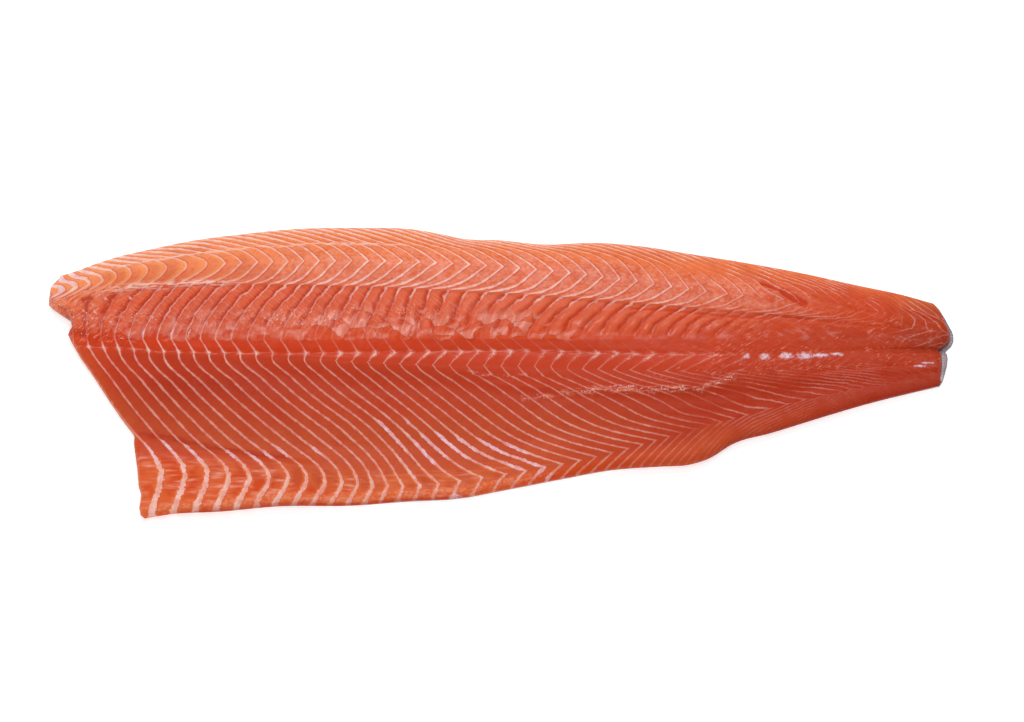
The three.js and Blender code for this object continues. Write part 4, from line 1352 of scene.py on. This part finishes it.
def flesh_material(settings, piece):
    """Raw salmon flesh: moist red muscle that light enters a little way, cut across pale sheets of fat."""
    material = new_material("raw salmon flesh")
    tree = material.node_tree
    place = add(tree, "TexCoord", out="Object")
    patterns = {values.name: add(tree, "Attribute", out="Fac", attribute_name=values.name)
                for values in piece.data.attributes if values.data_type == "FLOAT"}
    patterns.update(speckle_patterns(tree, place))
    shard_patterns(tree, patterns, place)
    line_patterns(tree, patterns, settings.fat_width)
    rib_patterns(tree, patterns)

    # The face is moist all over and wet in patches, most of all on the scraped flakes.
    rough = add(tree, "MapRange", {0: patterns["flecks"], 1: 0.3, 2: 0.7, 3: ROUGHNESS[0], 4: ROUGHNESS[1]})
    rough = add(tree, "Math", {0: patterns["scraped"], 1: SCRAPED_ROUGHNESS, 2: rough},
                operation="MULTIPLY_ADD")
    patchy = add(tree, "MapRange", {0: patterns["shards"], 1: 0.4, 2: 0.6, 3: PATCHY_COAT[0],
                                    4: PATCHY_COAT[1]})
    wetness = add(tree, "Math", {0: patterns["gloss"], 1: patchy}, operation="MULTIPLY")
    wetness = add(tree, "MapRange", {0: wetness, 3: COAT[0], 4: COAT[1]})

    surface = add(tree, "BsdfPrincipled", {
        "Base Color": flesh_colour(tree, settings, patterns), "Normal": flesh_bump(tree, patterns),
        "Roughness": rough, "IOR": 1.4, "Specular IOR Level": 0.08,
        "Subsurface Weight": 0.12, "Subsurface Radius": (1.0, 0.35, 0.2), "Subsurface Scale": 0.0015,
        "Coat Weight": wetness, "Coat Roughness": 0.17, "Coat IOR": 1.45,
    })
    add(tree, "OutputMaterial", {"Surface": surface})
    return material


# Layers of colour on the skin; see FLESH_LAYERS.
SKIN_LAYERS = [
    ("side", "skin_row", 1.5, 5.5, 1, None),
    ("belly", "skin_row", 5.5, 8.5, 1, None),
    ("back", "mottle", 0.4, 0.7, 0.35, None),
    ("back", "scale_edge", 0.35, 0.7, 0.35, None),
    ("spot", "spots", 0.66, 0.72, 1, "upper_back"),
    ("inner", "facing_up", 0.2, 0.5, 0.9, "past_flesh"),
    ("spot", "outline", 0.3, 1, 0.6, None),
]
SKIN_COLOURS = ("side", "belly", "back", "spot", "inner")


def skin_material(settings):
    """Wet salmon skin: silver on the belly, blue-grey on the back, in rows of small overlapping scales."""
    material = new_material("wet salmon skin")
    tree = material.node_tree
    place = add(tree, "TexCoord", out="Object")
    normal = add(tree, "NewGeometry", out="True Normal")
    scale_place = add(tree, "Mapping", {"Vector": place, "Scale": (1.0, 1.5, 0.0)})
    patterns = {name: add(tree, "Attribute", out="Fac", attribute_name=name)
                for name in ("skin_row", "past_flesh", "outline")}
    patterns.update({
        "facing_up": add(tree, "SeparateXYZ", {0: normal}, out=2),
        "upper_back": add(tree, "MapRange", {0: patterns["skin_row"], 1: 4.5, 2: 2.5}),
        "mottle": add(tree, "TexNoise", {"Vector": place, "Scale": 60.0, "Detail": 4.0}),
        "spots": add(tree, "TexNoise", {"Vector": place, "Scale": 130.0, "Detail": 1.0}),
        "scale_edge": add(tree, "TexVoronoi", {"Vector": scale_place, "Scale": 330.0, "Randomness": 0.25},
                          feature="F1", voronoi_dimensions="2D"),
    })
    colours = {name: getattr(settings, name + "_colour") for name in SKIN_COLOURS}
    colour = lay_colours(tree, tuple(settings.back_colour), SKIN_LAYERS, colours, patterns)
    bump = add(tree, "Bump", {"Strength": 0.5, "Distance": 0.0004, "Height": patterns["scale_edge"]},
               invert=True)
    rough = add(tree, "MapRange", {0: patterns["mottle"], 1: 0.3, 2: 0.7, 3: 0.34, 4: 0.5})
    surface = add(tree, "BsdfPrincipled", {
        "Base Color": colour, "Metallic": 0.25, "Roughness": rough, "Normal": bump,
        "Coat Weight": 0.2, "Coat Roughness": 0.25,
    })
    add(tree, "OutputMaterial", {"Surface": surface})
    return material


# ------------------------------------------------------------------ settings

def colour_setting(name, description, value):
    """A colour that a user can change, from its sRGB hex value."""
    return FloatVectorProperty(name=name, description=description, default=linear(value), size=3,
                               min=0, max=1, subtype="COLOR")


class SalmonFleshSettings(bpy.types.PropertyGroup):
    columns: IntProperty(name="Columns", description="Faces along the side", default=570, min=60, max=600)
    rows: IntProperty(name="Rows", description="Faces from back to belly", default=136, min=40, max=150)
    flake_relief: FloatProperty(name="Flake relief", description="Height in millimetres of the ribs",
                                default=0.9, min=0, max=2)
    fine_relief: FloatProperty(name="Fine relief", description="Strength of the small relief of the cut face",
                               default=1, min=0, max=2)
    fat_width: FloatProperty(name="Fat width", description="Width of the fat sheets' cut edges",
                             default=1, min=0, max=2, subtype="FACTOR")
    # Only the painted shade along the lower edge.
    dark_colour: colour_setting("Dark red", "Cracks and the lower edge", "#a02410")
    # Also painted shade in the rib grooves and the creases.
    deep_colour: colour_setting("Deep red", "Muscle in grooves and hollows", "#ab2e15")
    # Also the painted shade beside the fat sheets.
    red_colour: colour_setting("Red", "Flecks in the muscle", "#c23c1c")
    # Also the painted highlight a little inside the belly edge.
    orange_colour: colour_setting("Orange", "Muscle stained by the fat beside it", "#e0703a")
    # Painted glow at the thin ends of the flakes.
    glow_colour: colour_setting("Glow", "Thin ends of flakes that light shines through", "#f39c5a")
    # Also painted highlights: on the rib faces, the tail's glints and the flecks inside the belly edge.
    pale_colour: colour_setting("Pale pink", "Scraped and fibrous muscle", "#e88e72")
    pink_colour: colour_setting("Pink", "Muscle of the loin", "#ee9f88")
    # The painted sheen on the smeared scales at the foot of the channel.
    sheen_colour: colour_setting("Sheen", "Smeared scales at the foot of the channel", "#db7f69")
    # Also the painted glints along the scraped flakes near the head end.
    fat_colour: colour_setting("Fat", "Cut edges of the fat sheets", "#f7d2c6")
    torn_colour: colour_setting("Torn sinew", "Fuzz along the torn seams", "#e8967b")
    # Partly the fat's own colour, partly painted sheen on the wet fat.
    lilac_colour: colour_setting("Wet fat", "Thick, wet fat", "#e6bfcb")
    # Also the painted glints on the torn head end.
    scrap_colour: colour_setting("Scraps", "Loose scraps of fat and sinew", "#e6d6e2")


class SalmonSkinSettings(bpy.types.PropertyGroup):
    columns: IntProperty(name="Columns", description="Faces along the skin", default=230, min=40, max=400)
    rows: IntProperty(name="Rows", description="Faces from back to belly", default=70, min=20, max=120)
    back_colour: colour_setting("Back", "Skin along the back", "#56606b")
    side_colour: colour_setting("Side", "Skin along the side", "#98a0a8")
    belly_colour: colour_setting("Belly", "Skin along the belly", "#d6d6d8")
    spot_colour: colour_setting("Spots", "Dark spots on the back", "#2c2f36")
    inner_colour: colour_setting("Inner face", "Bare inner face at the tail", "#8a6e76")


class SalmonStageSettings(bpy.types.PropertyGroup):
    floor_colour: colour_setting("Floor", "Studio paper", "#fbfbfb")
    camera_distance: FloatProperty(name="Camera distance", description="Camera to side", default=12, min=2,
                                   unit="LENGTH")


# ------------------------------------------------------------------ the stage

PAPER_GLOW = 0.4
ROOM_LIGHT = 0.3
CAMERA_ELEVATION = 70  # degrees over the floor, seen from the belly side
PICTURE_WIDTH = 1024
PIXEL = 0.685  # millimetres of the side for one point of the picture
CAMERA_TARGET = (7.9, 2.2, 15)  # in the millimetres of the form
SENSOR = 36

# Lights: name, place, size, power and the place each is aimed at.
LIGHTS = [
    ("key", (-0.05, 1.35, 1.9), (1.8, 0.9), 32, (-0.05, 0, 0)),
    ("fill", (-0.9, -1.6, 1.5), (2.0, 1.5), 17, (0, 0, 0)),
    ("gloss", (0.05, -0.05, 2.3), (1.1, 0.25), 9, (0, 0, 0)),
]


def stage_material(colour):
    """Matt white studio paper, lit a little from below."""
    material = new_material("studio paper")
    tree = material.node_tree
    surface = add(tree, "BsdfPrincipled", {
        "Base Color": tuple(colour), "Roughness": 0.9, "Specular IOR Level": 0.1,
        "Emission Color": (1, 1, 1), "Emission Strength": PAPER_GLOW,
    })
    add(tree, "OutputMaterial", {"Surface": surface})
    return material


def build_camera(settings):
    """A camera far away with a long lens, aimed at the middle of the side."""
    shift_x, shift_y = part_shift()
    target = Vector((CAMERA_TARGET[0] + shift_x, CAMERA_TARGET[1] + shift_y, CAMERA_TARGET[2])) / 1000
    elevation = np.radians(CAMERA_ELEVATION)
    away = Vector((0, -np.cos(elevation), np.sin(elevation))) * settings.camera_distance
    camera = bpy.data.cameras.new("picture_camera")
    camera.sensor_width = SENSOR
    camera.lens = SENSOR * settings.camera_distance * 1000 / (PICTURE_WIDTH * PIXEL)
    camera.clip_end = 100
    holder = bpy.data.objects.new("picture_camera", camera)
    holder.location = target + away
    holder.rotation_euler = (np.pi / 2 - elevation, 0, 0)
    bpy.context.scene.collection.objects.link(holder)
    bpy.context.scene.camera = holder


def build_lights():
    """Large soft lights and a pale room."""
    for name, place, size, power, aim in LIGHTS:
        light = bpy.data.lights.new(name, "AREA")
        light.shape = "RECTANGLE"
        light.size, light.size_y = size
        light.energy = power
        holder = bpy.data.objects.new(name, light)
        holder.location = place
        holder.rotation_euler = (Vector(aim) - Vector(place)).to_track_quat("-Z", "Y").to_euler()
        bpy.context.scene.collection.objects.link(holder)
    world = bpy.data.worlds.new("studio")
    world.use_nodes = True
    background = world.node_tree.nodes["Background"]
    background.inputs["Color"].default_value = (1, 1, 1, 1)
    background.inputs["Strength"].default_value = ROOM_LIGHT
    bpy.context.scene.world = world
    bpy.context.scene.view_settings.view_transform = "Standard"


def build_floor(settings):
    """Plain studio paper under the side."""
    bpy.ops.object.select_all(action="DESELECT")
    bpy.ops.mesh.primitive_plane_add(size=30, location=(0, 0, 0))
    floor = bpy.context.object
    floor.name = "studio_floor"
    floor.data.materials.append(stage_material(settings.floor_colour))


# ------------------------------------------------------------------ operators

class SALMON_OT_flesh(bpy.types.Operator):
    """Builds the cut side of flesh"""
    bl_idname = "salmon.flesh"
    bl_label = "Flesh"

    def execute(self, context):
        settings = context.scene.salmon_flesh
        piece = build_flesh(settings)
        piece.data.materials.append(flesh_material(settings, piece))
        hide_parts("flesh")
        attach(piece, BODY)
        return {"FINISHED"}


class SALMON_OT_skin(bpy.types.Operator):
    """Builds the skin under the flesh"""
    bl_idname = "salmon.skin"
    bl_label = "Skin"

    def execute(self, context):
        settings = context.scene.salmon_skin
        piece = build_skin(settings)
        piece.data.materials.append(skin_material(settings))
        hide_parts("skin")
        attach(piece, BODY)
        return {"FINISHED"}


class SALMON_OT_stage(bpy.types.Operator):
    """Builds the floor, the lights and the camera"""
    bl_idname = "salmon.stage"
    bl_label = "Stage"

    def execute(self, context):
        settings = context.scene.salmon_stage
        build_floor(settings)
        build_lights()
        build_camera(settings)
        return {"FINISHED"}


class SALMON_PT_side(bpy.types.Panel):
    bl_idname = "SALMON_PT_side"
    bl_label = "Side of Salmon"
    bl_space_type = "VIEW_3D"
    bl_region_type = "UI"
    bl_category = "Salmon"

    def draw(self, context):
        for piece in SETTINGS:
            group = getattr(context.scene, "salmon_" + piece)
            box = self.layout.box()
            for name in group.bl_rna.properties.keys():
                if name not in ("rna_type", "name"):
                    box.prop(group, name)
            box.operator("salmon." + piece)


SETTINGS = {"flesh": SalmonFleshSettings, "skin": SalmonSkinSettings, "stage": SalmonStageSettings}
CLASSES = (*SETTINGS.values(), SALMON_OT_flesh, SALMON_OT_skin, SALMON_OT_stage, SALMON_PT_side)


def register():
    for kind in CLASSES:
        bpy.utils.register_class(kind)
    for piece, kind in SETTINGS.items():
        setattr(bpy.types.Scene, "salmon_" + piece, PointerProperty(type=kind))


def unregister():
    for piece in SETTINGS:
        delattr(bpy.types.Scene, "salmon_" + piece)
    for kind in reversed(CLASSES):
        bpy.utils.unregister_class(kind)


def main():
    register()
    bpy.ops.salmon.flesh()
    bpy.ops.salmon.skin()
    bpy.ops.salmon.stage()


if __name__ == "__main__":
    main()
